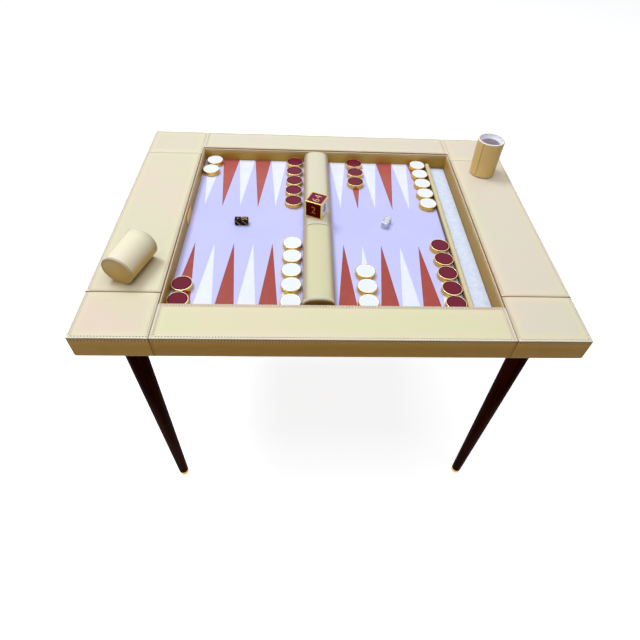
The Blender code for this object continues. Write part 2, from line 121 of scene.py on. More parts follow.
def painted(tree, name):
    """Reads a value that is stored on the mesh."""
    return add_node(tree, "Attribute", attribute_name=name)["Fac"]


def bump(tree, height, depth, strength=1.0):
    """Turns a height into a normal, scaled to a depth in metres."""
    return add_node(tree, "Bump", {"Height": height, "Distance": depth, "Strength": strength})["Normal"]


def new_group(name, inputs, outputs):
    """A shader node group. Inputs map a name to its first value, outputs a name to Float or Color. Gives the
    group, what it is given and the node that it puts out by."""
    group = bpy.data.node_groups.new(name, "ShaderNodeTree")
    for label, value in inputs.items():
        kind = "NodeSocketColor" if isinstance(value, tuple) else "NodeSocketFloat"
        group.interface.new_socket(name=label, in_out="INPUT", socket_type=kind).default_value = value
    for label, kind in outputs.items():
        group.interface.new_socket(name=label, in_out="OUTPUT", socket_type="NodeSocket" + kind)
    return group, group.nodes.new("NodeGroupInput").outputs, group.nodes.new("NodeGroupOutput")


def place_group(tree, group, inputs):
    """Places a group in a material, feeds it by name and gives its outputs."""
    return add_node(tree, "Group", inputs, node_tree=group)


def new_material(name, roughness=0.5, metallic=0.0):
    """A material with a plain shader. Gives the material, its tree and the shader."""
    material = bpy.data.materials.new(name)
    material.use_nodes = True
    tree = material.node_tree
    shader = tree.nodes["Principled BSDF"]
    feed(tree, shader, {"Roughness": roughness, "Metallic": metallic})
    return material, tree, shader


# Pearl finish: pale where the leather lies flat, golden where it stands up, with broad soft clouds in both.
# The golden upright colour is painted shade for the weaker light on upright faces, laid over the leather's
# own tone.
# A board's own hide can lean to rose or to straw. A band near its edges takes painted light, a strip along an
# edge a painted highlight, and seams, grooves, creases and feet take painted shade.
pearl_tone, given, out = new_group(
    "pearl_tone",
    {"Flat Colour": ivory_flat, "Shaded Upright Colour": ivory_upright_shade, "Band Colour": ivory_lit_band,
     "Highlight Colour": highlight_cream, "Shade And Edge Colour": shade_and_edge_brown, "Cloud Size": 0.26, "Cloud Strength": 0.5,
     "Steepest": STEEPEST, "Flattest": FLATTEST},
    {"Colour": "Color"})
tree = pearl_tone
coordinates = add_node(tree, "TexCoord")
facing = add_node(tree, "SeparateXYZ", {0: coordinates["Normal"]})["Z"]
flat_mask = spread(tree, facing, given["Steepest"], given["Flattest"])
cloud_scale = work_out(tree, "DIVIDE", 1.0, given["Cloud Size"])
cloud = noise(tree, coordinates["Object"], cloud_scale)
mottle = noise(tree, coordinates["Object"], times(tree, cloud_scale, 4.5), 3.0, 0.6)
both = plus(tree, times(tree, cloud, 0.72), times(tree, mottle, 0.28))
cloud_mask = spread(tree, both, 0.37, 0.63)
clouds = mix_colours(tree, cloud_mask, rose_cloud, straw_cloud)
laid = mix_colours(tree, painted(tree, "rose_hide"), given["Flat Colour"], ivory_rose)
laid = mix_colours(tree, painted(tree, "straw_hide"), laid, ivory_straw)
laid = mix_colours(tree, painted(tree, "crown_band"), laid, given["Band Colour"])
finish = mix_colours(tree, flat_mask, given["Shaded Upright Colour"], laid)
clouded = mix_colours(tree, 1.0, finish, clouds, "MULTIPLY")
finish = mix_colours(tree, given["Cloud Strength"], finish, clouded)
finish = mix_colours(tree, painted(tree, "rolled_light"), finish, given["Highlight Colour"])
finish = mix_colours(tree, painted(tree, "seam_shade"), finish, given["Shade And Edge Colour"])
feed(tree, out, {"Colour": finish})

# Hide grain: fine pebbles broken up by creases, and a slow rise and fall of the wadding underneath
hide_grain, given, out = new_group(
    "hide_grain", {"Grain Size": GRAIN_SIZE, "Swell": 0.5}, {"Height": "Float", "Sheen": "Float"})
tree = hide_grain
place = add_node(tree, "TexCoord")["Object"]
grain_scale = work_out(tree, "DIVIDE", 1.0, given["Grain Size"])
pebble_inputs = {"Vector": place, "Scale": grain_scale, "Randomness": 0.95}
pebbles = add_node(tree, "TexVoronoi", pebble_inputs, feature="SMOOTH_F1")["Distance"]
creases = noise(tree, place, times(tree, grain_scale, 0.45), 4.0, 0.6)
swell = noise(tree, place, 28.0, 1.0)
fine = work_out(tree, "SUBTRACT", creases, times(tree, pebbles, 0.7))
raised = times(tree, swell, times(tree, given["Swell"], 6.0))
sheen = spread(tree, noise(tree, place, 60.0, 4.0), 0.3, 0.7, -0.05, 0.05)
feed(tree, out, {"Height": plus(tree, fine, raised), "Sheen": sheen})


def leather(name, flat, upright_shade, band, roughness=LEATHER_ROUGHNESS, steepest=STEEPEST, flattest=FLATTEST):
    """Pearl-finished leather. It turns from its flat to its upright colour between the two slopes; the
    upright colour is painted shade.
    """
    material, tree, shader = new_material(name, roughness)
    tone = place_group(tree, pearl_tone, {"Flat Colour": flat, "Shaded Upright Colour": upright_shade, "Band Colour": band,
                                          "Cloud Strength": 0.8, "Steepest": steepest, "Flattest": flattest})
    grain = place_group(tree, hide_grain, {"Grain Size": GRAIN_SIZE})
    feed(tree, shader, {"Base Color": tone["Colour"], "Specular IOR Level": LEATHER_GLOSS,
                        "Roughness": plus(tree, grain["Sheen"], roughness),
                        "Normal": bump(tree, grain["Height"], GRAIN_DEPTH, 0.55)})
    return material


ivory_leather = leather("ivory_leather", ivory_flat, ivory_upright_shade, ivory_lit_band)

EDGE_ROUNDING = 0.0018
SEAM_ROUNDING = 0.0009
FRONT_FOOT_ROUNDING = 0.0050
SIDE_FOOT_ROUNDING = 0.0095
CORNER_ROUNDING = 0.0020
ROUNDING_STEPS = 5
SMOOTH_ANGLE = radians(42)

# Each kind of edge: how far in its row of stitches runs, how far the leather is drawn down there, how strong
# and how wide the painted highlight on its rolled strip is, how much painted shade lies on the shoulder
# beyond the row, and how dark its own side is along the joint, painted shade for the gap between the boards
EDGE_KINDS = {
    "outer": (0.0043, 0.0005, 0.70, 0.0062, 0.20, 0.0),
    "front": (0.0043, 0.0005, 0.70, 0.0024, 0.0, 0.0),
    "recess": (0.0032, 0.0006, 0.45, 0.0024, 0.20, 0.75),
    "near_recess": (0.0030, 0.0006, 0.3, 0.0024, 0.36, 0.5),
    "seam": (0.0036, 0.0006, 0.55, 0.0020, 0.10, 0.60),
    "far_seam": (0.0036, 0.0006, 0.65, 0.0020, 0.08, 0.15),
    "hem": (0.0070, 0.0007, 0.45, 0.0040, 0.14, 0.60),
    "far_hem": (0.0070, 0.0007, 0.45, 0.0040, 0.08, 0.15),
    "cross_seam": (0.0036, 0.0006, 0.50, 0.0022, 0.10, 1.0),
    "bead": (None, 0.0001, 0.55, 0.0026, 0.0, 1.0),
    "far_bead": (None, 0.0001, 0.80, 0.0026, 0.0, 0.10)}
OUTER_KINDS = ("outer", "front")
UNSEWN_INSET = 0.0032
STRIP_BLEND = 0.0006
CROWN_REACH = 0.026
DEEPEST_CROWN = 0.0009
CROWN_LINES = (0.0092, 0.012, 0.0155, 0.019, 0.023, 0.030)
GROOVE_DEPTH = 0.0003
GROOVE_WIDTH = 0.0007
GROOVE_SHADE = 0.16
GROOVE_LINES = (-0.0010, -0.0005, 0, 0.0005, 0.0010, 0.0017, 0.0024, 0.0031, 0.0042)
SHOULDER = 0.0030
SHOULDER_WIDTH = 0.0017
HEM_CREASE = 0.0044
HEM_SHADE = 0.45
APRON_SEAM = 0.0048
APRON_SEAM_DEPTH = 0.0012
APRON_SEAM_SHADE = 0.85
APRON_ROW = 0.0092
APRON_ROW_DEPTH = 0.0011
APRON_ROW_SHADE = 0.9
APRON_CREASE_DEPTH = 0.0006
APRON_CREASE_SHADE = 0.8
APRON_GROOVE_WIDTH = 0.0011
APRON_GROOVE_LINES = (-0.0021, -0.0014, -0.0007, 0, 0.0007, 0.0014, 0.0021)
APRON_REACH = 0.034
APRON_LINES = (0.0135, 0.017, 0.021, 0.026)
JOINT_DARK = 0.0010
JOINT_FADE = 0.0011
ON_THE_FACE = 0.00002


def link_piece(name, mesh, *finishes):
    """Puts a mesh into the scene as an object, with its materials."""
    item = bpy.data.objects.new(name, mesh)
    bpy.context.scene.collection.objects.link(item)
    for finish in finishes:
        mesh.materials.append(finish)
    return item


def finished_mesh(item):
    """A new mesh of what an object's modifiers or curves come to."""
    bpy.context.view_layer.update()
    finished = item.evaluated_get(bpy.context.evaluated_depsgraph_get())
    return bpy.data.meshes.new_from_object(finished)


def settle_mesh(item):
    """Replaces an object's mesh by its finished one and drops the modifiers."""
    mesh = finished_mesh(item)
    item.modifiers.clear()
    item.data = mesh


def smooth(item, angle=SMOOTH_ANGLE):
    """Shades an object smooth, but keeps its sharp edges."""
    item.data.shade_smooth()
    item.data.set_sharp_from_angle(angle=angle)


def paint(mesh, **amounts):
    """Stores named values on a mesh, one for each of its points."""
    for label, values in amounts.items():
        mesh.attributes.new(label, "FLOAT", "POINT").data.foreach_set("value", values)


@contextmanager
def reshaped(mesh):
    """Opens a mesh so that its shape can be worked on, and writes it back."""
    shape = bmesh.new()
    shape.from_mesh(mesh)
    yield shape
    shape.to_mesh(mesh)
    shape.free()


def rounded_block(name, low, high, radii, steps, *finishes):
    """A box between two corners with rounded edges. An edge is named by the sides that it lies between, so
    (0, -1, 1) is the front top edge, and "rest" is the radius of all others."""
    widest = max(radii.values())
    mesh = bpy.data.meshes.new(name)
    with reshaped(mesh) as shape:
        bmesh.ops.create_cube(shape, size=1)
        weight = shape.edges.layers.float.new("bevel_weight_edge")
        for edge in shape.edges:
            side = tuple(round(value) for value in edge.verts[0].co + edge.verts[1].co)
            edge[weight] = radii.get(side, radii["rest"]) / widest
        bmesh.ops.scale(shape, vec=high - low, verts=shape.verts)
        bmesh.ops.translate(shape, vec=(high + low) / 2, verts=shape.verts)
    item = link_piece(name, mesh, *finishes)
    bevel = item.modifiers.new("rounding", "BEVEL")
    bevel.width = widest
    bevel.segments = steps
    bevel.limit_method = "WEIGHT"
    settle_mesh(item)
    return item


def cut_lines(item, axis, places):
    """Cuts new edges through a mesh where planes across an axis pass."""
    normal = Vector((0, 0, 0))
    normal[axis] = 1
    with reshaped(item.data) as shape:
        for place in places:
            everything = shape.verts[:] + shape.edges[:] + shape.faces[:]
            bmesh.ops.bisect_plane(shape, geom=everything, plane_co=normal * place, plane_no=normal)


def ease(share):
    """Eases a share from 0 to 1."""
    share = min(max(share, 0.0), 1.0)
    return share * share * (3 - 2 * share)


def dip(distance, line, width):
    """How near a distance is to a line: 1 on it, and almost nothing two widths away."""
    return exp(-((distance - line) / width) ** 2)


def edge_distances(low, high, place):
    """How far a place is from the four edges of a board, by the side each lies on."""
    return {(-1, 0): place[0] - low[0], (1, 0): high[0] - place[0],
            (0, -1): place[1] - low[1], (0, 1): high[1] - place[1]}


def leather_dip(kinds, distances):
    """How the leather lies at a place: how far it is drawn down, how near it is to an edge, which sets its
    band of painted light, how much painted highlight its rolled strip takes, and how much painted shade its
    grooves, shoulders and creases take."""
    crown, nearness, groove, rolled, dark = 1.0, 1.0, 0.0, 0.0, 0.0
    for side, kind in kinds.items():
        inset, drawn, pale, strip, shoulder, _ = EDGE_KINDS[kind]
        near = 1 - ease(distances[side] / CROWN_REACH)
        crown *= 1 - near * drawn / DEEPEST_CROWN
        nearness *= 1 - near
        rolled = max(rolled, pale * (1 - ease((distances[side] - strip + STRIP_BLEND) / (2 * STRIP_BLEND))))
        if inset is None:
            continue
        reached = 1.0
        for other, other_kind in kinds.items():
            if other != side and other[0] * side[0] + other[1] * side[1] == 0:
                other_inset = EDGE_KINDS[other_kind][0] or 0
                reached *= ease((distances[other] - other_inset + GROOVE_WIDTH) / GROOVE_WIDTH)
        pressed = dip(distances[side], inset, GROOVE_WIDTH) * reached
        beyond = dip(distances[side], inset + SHOULDER, SHOULDER_WIDTH) * reached
        crease = dip(distances[side], HEM_CREASE, GROOVE_WIDTH) if "hem" in kind else 0.0
        groove = max(groove, pressed, crease)
        dark = max(dark, GROOVE_SHADE * pressed, shoulder * beyond, HEM_SHADE * crease)
    return DEEPEST_CROWN * (1 - crown) + GROOVE_DEPTH * groove, 1 - nearness, rolled, dark


def apron_dip(kinds, distances, depth):
    """How far the leather is drawn in on the apron, at a depth below the top, and how much painted shade its
    grooves and crease take there.
    """
    seam = dip(depth, APRON_SEAM, APRON_GROOVE_WIDTH)
    row = dip(depth, APRON_ROW, APRON_GROOVE_WIDTH)
    creases = [dip(distances[end], HEM_CREASE, GROOVE_WIDTH) for end, kind in kinds.items() if "hem" in kind]
    crease = max(creases, default=0.0)
    drawn_in = max(seam * APRON_SEAM_DEPTH, row * APRON_ROW_DEPTH, crease * APRON_CREASE_DEPTH)
    return drawn_in, max(APRON_SEAM_SHADE * seam, APRON_CREASE_SHADE * crease, APRON_ROW_SHADE * row)


def dress_board(node, kinds, rose, straw, paler, foot_shade):
    """The leather of one board: crowned, with grooves for its stitches, seams and creases. Rose and straw say
    how far its hide leans to either tone. The last two give its apron painted light along its top and painted
    shade that grows towards its foot."""
    low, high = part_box(node)
    radii = {"rest": SEAM_ROUNDING}
    outer = [side for side, kind in kinds.items() if kind in OUTER_KINDS]
    for side in outer:
        radii[(*side, -1)] = SIDE_FOOT_ROUNDING if side[0] else FRONT_FOOT_ROUNDING
        radii[(*side, 1)] = EDGE_ROUNDING
    if len(outer) == 2:
        radii[(outer[0][0] + outer[1][0], outer[0][1] + outer[1][1], 0)] = CORNER_ROUNDING
    board = rounded_block(node + "_leather", low, high, radii, ROUNDING_STEPS, ivory_leather)
    for axis in (0, 1):
        lines = set()
        for side, kind in kinds.items():
            if side[axis]:
                start = low[axis] if side[axis] < 0 else high[axis]
                inset, strip = EDGE_KINDS[kind][0] or UNSEWN_INSET, EDGE_KINDS[kind][3]
                steps = [inset + line for line in GROOVE_LINES] + list(CROWN_LINES)
                steps += [strip - STRIP_BLEND, strip, strip + STRIP_BLEND]
                steps += [JOINT_DARK, JOINT_DARK + JOINT_FADE]
                if "hem" in kind:
                    steps += [HEM_CREASE + line for line in GROOVE_LINES]
                lines.update(round(start - side[axis] * step, 6) for step in steps)
        cut_lines(board, axis, sorted(lines))
    heights = [high.z - row + line for row in (APRON_SEAM, APRON_ROW) for line in APRON_GROOVE_LINES]
    heights += [high.z - line for line in APRON_LINES]
    cut_lines(board, 2, sorted(heights))
    mesh = board.data
    band, rolled, shade = (np.zeros(len(mesh.vertices)) for _ in range(3))
    for vertex in mesh.vertices:
        distances = edge_distances(low, high, vertex.co.copy())
        depth = high.z - vertex.co.z
        index = vertex.index
        # On the apron: painted shade in the grooves and growing towards the foot, painted light along the top
        for side in outer:
            if distances[side] < ON_THE_FACE and depth > EDGE_ROUNDING:
                drawn_in, dark = apron_dip(kinds, distances, depth)
                lowness = ease(depth / APRON_REACH)
                shade[index] = max(dark, foot_shade * lowness)
                rolled[index] = paler * (1 - lowness)
                vertex.co.x -= side[0] * drawn_in
                vertex.co.y -= side[1] * drawn_in
        # On the top: a band near the edges takes painted light, a strip along each edge a painted highlight,
        # and grooves, shoulders and creases painted shade
        if depth < EDGE_ROUNDING:
            drop, near, pale, dark = leather_dip(kinds, distances)
            on_top = 1 - depth / EDGE_ROUNDING
            vertex.co.z -= drop * on_top
            band[index] = near * on_top
            rolled[index] = pale
            shade[index] = dark * on_top
        # Along a joint with the next board, its own side takes painted shade for the gap
        for side, kind in kinds.items():
            if kind not in OUTER_KINDS:
                joint = EDGE_KINDS[kind][5] * (1 - ease((distances[side] - JOINT_DARK) / JOINT_FADE))
                shade[index] = max(shade[index], joint)
    whole = np.ones(len(mesh.vertices))
    paint(mesh, crown_band=band, rolled_light=rolled, seam_shade=shade, rose_hide=rose * whole,
          straw_hide=straw * whole)
    smooth(board)
    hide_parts(node)
    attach(board, "table")


# Each board's edges, and its own hide: rose, straw, then the painted light along its apron's top and the
# painted shade at its apron's foot
boards = {}
hides = {"front_panel": (0.04, 0.90, 0.06, 0.40), "back_panel": (0.05, 0.10, 0.02, 0.32),
         "left_panel": (0.36, 0.28, 0.03, 0.30), "right_panel": (0.0, 0.15, 0.0, 0.32),
         "corner_front_left": (0.75, 0.15, 0.10, 0.26), "corner_front_right": (0.10, 0.10, 0.06, 0.36),
         "corner_back_left": (0.50, 0.05, 0.03, 0.30), "corner_back_right": (0.05, 0.10, 0.0, 0.32)}
for name, end_y, *kinds in (("front_panel", -1, "front", "near_recess", "hem"),
                            ("back_panel", 1, "outer", "recess", "far_hem")):
    boards[name] = {(0, end_y): kinds[0], (0, -end_y): kinds[1], (-1, 0): kinds[2], (1, 0): kinds[2]}
for name, end_x in (("left_panel", -1), ("right_panel", 1)):
    boards[name] = {(end_x, 0): "outer", (-end_x, 0): "recess", (0, -1): "cross_seam", (0, 1): "far_seam"}
for end_y, front_or_back, *kinds in ((-1, "front", "front", "seam", "bead"),
                                     (1, "back", "outer", "far_seam", "far_bead")):
    for end_x, left_or_right in ((-1, "left"), (1, "right")):
        boards[f"corner_{front_or_back}_{left_or_right}"] = {
            (end_x, 0): "outer", (0, end_y): kinds[0], (-end_x, 0): kinds[1], (0, -end_y): kinds[2]}
for name, kinds in boards.items():
    dress_board(name, kinds, *hides[name])


# The boards are sewn with pale waxed thread, in rows just inside every edge and again along the apron. Each
# stitch is a short arch of twisted thread that dives into a pricked hole at both ends. Each hole is a small
# dark disc laid on the leather, painted shade for the shadow in the hole, so the holes read as a row of dark
# dots.

thread_colour = (0.98, 0.96, 0.93, 1)
thread_shadow = (0.72, 0.65, 0.57, 1)
hole_shade_dark = (0.045, 0.018, 0.009, 1)
hole_shade_light = (0.072, 0.0288, 0.0144, 1)
TOP_PITCH = 0.0058
APRON_PITCH = 0.0060
THREAD_RADIUS = 0.00072
THREAD_SIDES = 6
THREAD_LIFT = 0.00016
STITCH_SHARE = 0.56
HOLE_RADIUS = 0.00108
HOLE_LIFT = 0.00034
APRON_HOLE_LIFT = 0.00052
TWIST_SIZE = 0.0007
# One stitch from end to end: share of its length, height of its middle, share of its thickness
STITCH_ARCH = ((-0.50, -0.00045, 0.55), (-0.40, -0.00008, 0.9), (-0.16, 0.00014, 1.0), (0.16, 0.00014, 1.0),
               (0.40, -0.00008, 0.9), (0.50, -0.00045, 0.55))

thread_twist, given, out = new_group(
    "thread_twist", {"Light": thread_colour, "Dark": thread_shadow, "Twist Size": TWIST_SIZE},
    {"Colour": "Color", "Height": "Float"})
tree = thread_twist
ply_inputs = {"Vector": add_node(tree, "TexCoord")["Object"], "Distortion": 1.5, "Detail": 1.0,
              "Scale": work_out(tree, "DIVIDE", 1.0, given["Twist Size"])}
plies = add_node(tree, "TexWave", ply_inputs, bands_direction="DIAGONAL")["Fac"]
twisted = mix_colours(tree, spread(tree, plies, 0.0, 0.45), given["Dark"], given["Light"])
feed(tree, out, {"Colour": twisted, "Height": plies})


def thread_material(name, light, dark):
    """Waxed thread with a fine twist."""
    material, tree, shader = new_material(name, 0.6)
    twist = place_group(tree, thread_twist, {"Light": light, "Dark": dark})
    feed(tree, shader, {"Base Color": twist["Colour"], "Normal": bump(tree, twist["Height"], 0.0001)})
    return material


def uneven_material(name, roughness, scale, dark, light):
    """A plain finish whose colour wavers between two tones."""
    material, tree, shader = new_material(name, roughness)
    uneven = noise(tree, add_node(tree, "TexCoord")["Object"], scale)
    feed(tree, shader, {"Base Color": mix_colours(tree, uneven, dark, light)})
    return material


pale_thread = thread_material("pale_thread", thread_colour, thread_shadow)
hole_shade = uneven_material("hole_shade", 0.9, 900.0, hole_shade_dark, hole_shade_light)


def build_piece(name, verts, faces, finishes, kinds=None, angle=None, **amounts):
    """A piece from its corners and faces, with its values painted on. Kinds are the faces' places among the
    finishes. Where an angle is given, the faces are turned outward and edges sharper than it stay sharp."""
    mesh = bpy.data.meshes.new(name)
    mesh.from_pydata(verts, [], faces)
    item = link_piece(name, mesh, *finishes)
    if kinds:
        mesh.polygons.foreach_set("material_index", kinds)
    paint(mesh, **amounts)
    if angle is None:
        mesh.shade_smooth()
        return item
    with reshaped(mesh) as shape:
        bmesh.ops.recalc_face_normals(shape, faces=shape.faces)
    smooth(item, angle)
    return item


def join_rings(near, far, sides, inward=False):
    """The faces between two rings of points, by the number that each ring starts at."""
    faces = [(near + side, near + (side + 1) % sides, far + (side + 1) % sides, far + side)
             for side in range(sides)]
    return [(face[0], *face[:0:-1]) for face in faces] if inward else faces


def row_of(start, end, pitch):
    """The middles of the stitches between two places, and the direction they run in."""
    count = max(1, round((end - start).length / pitch))
    along = (end - start).normalized()
    return [(start + (end - start) * (index + 0.5) / count, along) for index in range(count)]


def sew(name, stitches, pitch, body, thread=pale_thread, hole_lift=HOLE_LIFT):
    """Lays a stitch and a hole at each place; the hole is a dark disc of painted shade. A stitch is given by
    its middle, its direction and the way out of the leather."""
    reach = pitch * STITCH_SHARE
    verts, faces, finishes = [], [], []
    turns = [2 * pi * side / THREAD_SIDES for side in range(THREAD_SIDES)]
    for middle, along, outward in stitches:
        across = along.cross(outward)
        first = len(verts)
        for share, height, thickness in STITCH_ARCH:
            ring = middle + along * (share * reach) + outward * (THREAD_LIFT + height)
            radius = THREAD_RADIUS * thickness
            verts += [ring + across * (radius * cos(turn)) + outward * (radius * sin(turn)) for turn in turns]
        for near in range(first, len(verts) - THREAD_SIDES, THREAD_SIDES):
            faces += join_rings(near, near + THREAD_SIDES, THREAD_SIDES, inward=True)
        finishes += [0] * (len(faces) - len(finishes)) + [1]
        hole = middle + along * (pitch / 2) + outward * hole_lift
        faces.append(tuple(range(len(verts), len(verts) + THREAD_SIDES)))
        verts += [hole + along * (HOLE_RADIUS * cos(turn)) - across * (HOLE_RADIUS * sin(turn))
                  for turn in turns]
    item = build_piece(name, verts, faces, (thread, hole_shade), finishes)
    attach(item, body)


def board_rows(node, kinds):
    """The stitches on one board's top, and those on its apron."""
    low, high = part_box(node)

    def row_ends(side, inset, end_insets, height):
        """Both ends of a row along a side, drawn in from that side and from the edges that it runs up to."""
        run = 0 if side[0] == 0 else 1
        across = 1 - run
        ends = []
        for end in (-1, 1):
            place = Vector((0, 0, height))
            met = kinds[(end, 0) if run == 0 else (0, end)]
            place[run] = (low if end < 0 else high)[run] - end * end_insets[met]
            place[across] = (low if side[across] < 0 else high)[across] - side[across] * inset
            ends.append(place)
        return ends

    top_insets = {kind: values[0] or SEAM_ROUNDING for kind, values in EDGE_KINDS.items()}
    apron_insets = {kind: CORNER_ROUNDING if kind in OUTER_KINDS else SEAM_ROUNDING for kind in EDGE_KINDS}
    stitches, apron_stitches = [], []
    for side, kind in kinds.items():
        inset = EDGE_KINDS[kind][0]
        if inset is None:
            continue
        for middle, along in row_of(*row_ends(side, inset, top_insets, 0), TOP_PITCH):
            drop = leather_dip(kinds, edge_distances(low, high, middle))[0]
            stitches.append((Vector((middle.x, middle.y, high.z - drop)), along, Vector((0, 0, 1))))
        if kind in OUTER_KINDS:
            ends = row_ends(side, APRON_ROW_DEPTH, apron_insets, high.z - APRON_ROW)
            apron_stitches += [(*stitch, Vector((*side, 0))) for stitch in row_of(*ends, APRON_PITCH)]
    return stitches, apron_stitches


for name, kinds in boards.items():
    stitches, apron_stitches = board_rows(name, kinds)
    sew(name + "_stitching", stitches, TOP_PITCH, "table")
    sew(name + "_apron_stitching", apron_stitches, APRON_PITCH, "table", hole_lift=APRON_HOLE_LIFT)


# Four straight legs of dark walnut, turned to a taper, stained almost black and lacquered. Each screws up
# into its corner block with a hanger bolt that doesn't show, and stands in a turned brass ferrule.

walnut_dark = (0.009, 0.0010, 0.0003, 1)
walnut_light = (0.040, 0.0056, 0.0010, 1)
warm_wax = (1.0, 0.30, 0.07, 1)
WALNUT_ROUGHNESS = 0.44
WALNUT_GLOSS = 0.002
LEG_SHOULDER = 0.0008
LEG_GAP = 0.0003
LEG_STEPS = 96

wood_grain, given, out = new_group(
    "wood_grain", {"Dark": walnut_dark, "Light": walnut_light, "Stretch": 0.04, "Grain Scale": 60.0},
    {"Colour": "Color", "Height": "Float", "Dullness": "Float"})


def stretch(tree, vector, scales):
    """Scales a vector along each axis, so that a pattern laid by it is drawn out."""
    return add_node(tree, "VectorMath", {0: vector, 1: scales}, operation="MULTIPLY")["Vector"]


tree = wood_grain
place = add_node(tree, "TexCoord")["Object"]
squeeze = add_node(tree, "CombineXYZ", {"X": 1.0, "Y": 1.0, "Z": given["Stretch"]})[0]
stretched = stretch(tree, place, squeeze)
rings = noise(tree, stretched, given["Grain Scale"], 5.0, 0.62)
pores = noise(tree, stretched, times(tree, given["Grain Scale"], 14.0), 2.0)
feed(tree, out, {"Colour": mix_colours(tree, spread(tree, rings, 0.34, 0.66), given["Dark"], given["Light"]),
                 "Height": plus(tree, rings, times(tree, pores, 0.5)),
                 "Dullness": spread(tree, pores, 0.3, 0.7, -0.04, 0.06)})


def group_material(name, group, inputs, roughness, depth, strength, metallic=0.0):
    """A material whose colour, height and change of roughness all come from one group. Gives the same as
    new_material."""
    material, tree, shader = new_material(name, roughness, metallic)
    tones = place_group(tree, group, inputs)
    feed(tree, shader, {"Base Color": tones["Colour"],
                        "Roughness": plus(tree, tones["Dullness"], roughness),
                        "Normal": bump(tree, tones["Height"], depth, strength)})
    return material, tree, shader


def wood(name, dark, light, roughness, stretched_by, scale, gloss):
    """Wood with its grain running up, rubbed or lacquered to a gloss."""
    inputs = {"Dark": dark, "Light": light, "Stretch": stretched_by, "Grain Scale": scale}
    material, tree, shader = group_material(name, wood_grain, inputs, roughness, 0.00015, 0.4)
    feed(tree, shader, {"Specular IOR Level": gloss, "Specular Tint": warm_wax})
    return material


walnut = wood("walnut", walnut_dark, walnut_light, WALNUT_ROUGHNESS, 0.05, 90.0, WALNUT_GLOSS)


def turned(name, outline, steps, *finishes):
    """Turns an outline of (radius, height) points about Z. A third value in a point is its finish's place."""
    verts, faces, kinds, rings = [], [], [], []
    for radius, height, *_ in outline:
        count = 1 if radius == 0 else steps
        rings.append((len(verts), count))
        verts += [(radius * cos(2 * pi * step / steps), radius * sin(2 * pi * step / steps), height)
                  for step in range(count)]
    for (first, count), (second, next_count), point in zip(rings, rings[1:], outline[1:]):
        for step in range(steps):
            beside = (step + 1) % steps
            corners = [first + step % count, second + step % next_count,
                       second + beside % next_count, first + beside % count]
            faces.append(list(dict.fromkeys(corners)))
            kinds.append(point[2] if len(point) > 2 else 0)
    return build_piece(name, verts, faces, finishes, kinds, SMOOTH_ANGLE)


def round_off(middle, radius, start, end, steps=5):
    """Points on an arc about (radius, height) from one angle to another, in degrees."""
    angles = [radians(start + (end - start) * step / steps) for step in range(steps + 1)]
    return [(middle[0] + radius * cos(angle), middle[1] + radius * sin(angle)) for angle in angles]


CORNERS = ("front_left", "front_right", "back_left", "back_right")
for corner in CORNERS:
    low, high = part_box("leg_" + corner)
    ferrule_low, ferrule_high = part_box("ferrule_" + corner)
    middle = (low + high) / 2
    top_radius = (high.x - low.x) / 2
    foot_radius = (ferrule_high.x - ferrule_low.x) / 2
    leg_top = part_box("corner_" + corner)[0].z - LEG_GAP
    seat = ferrule_high.z + LEG_GAP
    outline = [(0, leg_top), (top_radius - 2 * LEG_SHOULDER, leg_top)]
    outline += round_off((top_radius - LEG_SHOULDER, leg_top - LEG_SHOULDER), LEG_SHOULDER, 90, 0)
    outline += [(foot_radius + 0.0004, seat + 0.0006), (foot_radius - 0.0001, seat), (0, seat)]
    leg = turned("walnut_leg_" + corner, outline, LEG_STEPS, walnut)
    leg.location = (middle.x, middle.y, 0)
    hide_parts("leg_" + corner)
    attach(leg, "table")


# A ferrule is a cup of polished brass, turned to carry on the leg's taper, with a rolled upper edge, one fine
# line cut round it and a chamfer where it meets the floor.

brass_colour = (0.74, 0.47, 0.10, 1)
brass_lit_top = (0.96, 0.84, 0.50, 1)
brass_tarnish = (0.80, 0.68, 0.50, 1)
BRASS_ROUGHNESS = 0.20
FERRULE_EDGE = 0.0006
FERRULE_MOUTH = 0.0014
FERRULE_TAPER = 0.0002
FERRULE_LINE = 0.0105
FERRULE_LINE_DEPTH = 0.0003
FERRULE_CHAMFER = 0.0012

metal_wear, given, out = new_group(
    "metal_wear",
    {"Colour": brass_colour, "Lit Top Colour": brass_lit_top, "Tarnish": 0.25, "Scratch Scale": 400.0},
    {"Colour": "Color", "Height": "Float", "Dullness": "Float"})
tree = metal_wear
coordinates = add_node(tree, "TexCoord")
around = stretch(tree, coordinates["Object"], (0.25, 0.25, 4.0))
scratches = noise(tree, around, given["Scratch Scale"], 3.0, 0.6)
stains = spread(tree, noise(tree, coordinates["Object"], 55.0, 4.0), 0.42, 0.70)
facing = add_node(tree, "SeparateXYZ", {0: coordinates["Normal"]})["Z"]
# Where the brass faces up it takes its lit top colour: painted highlight
lit_brass = mix_colours(tree, spread(tree, facing, 0.55, 0.95), given["Colour"], given["Lit Top Colour"])
dulled = mix_colours(tree, 1.0, lit_brass, brass_tarnish, "MULTIPLY")
stain_mask = times(tree, stains, given["Tarnish"])
scratched = spread(tree, scratches, 0.3, 0.7, -0.04, 0.06)
feed(tree, out, {"Colour": mix_colours(tree, stain_mask, lit_brass, dulled), "Height": scratches,
                 "Dullness": plus(tree, times(tree, stain_mask, 0.4), scratched)})


def metal(name, colour, lit_top, roughness, tarnish, scratch_scale):
    """Brass with fine turning marks, turning to its top colour where it faces up, a painted highlight for the
    light from above, and a little dulled in patches.
    """
    inputs = {"Colour": colour, "Lit Top Colour": lit_top, "Tarnish": tarnish, "Scratch Scale": scratch_scale}
    return group_material(name, metal_wear, inputs, roughness, 0.00002, 0.5, metallic=1.0)[0]


brass = metal("brass", brass_colour, brass_lit_top, BRASS_ROUGHNESS, 0.3, 400.0)

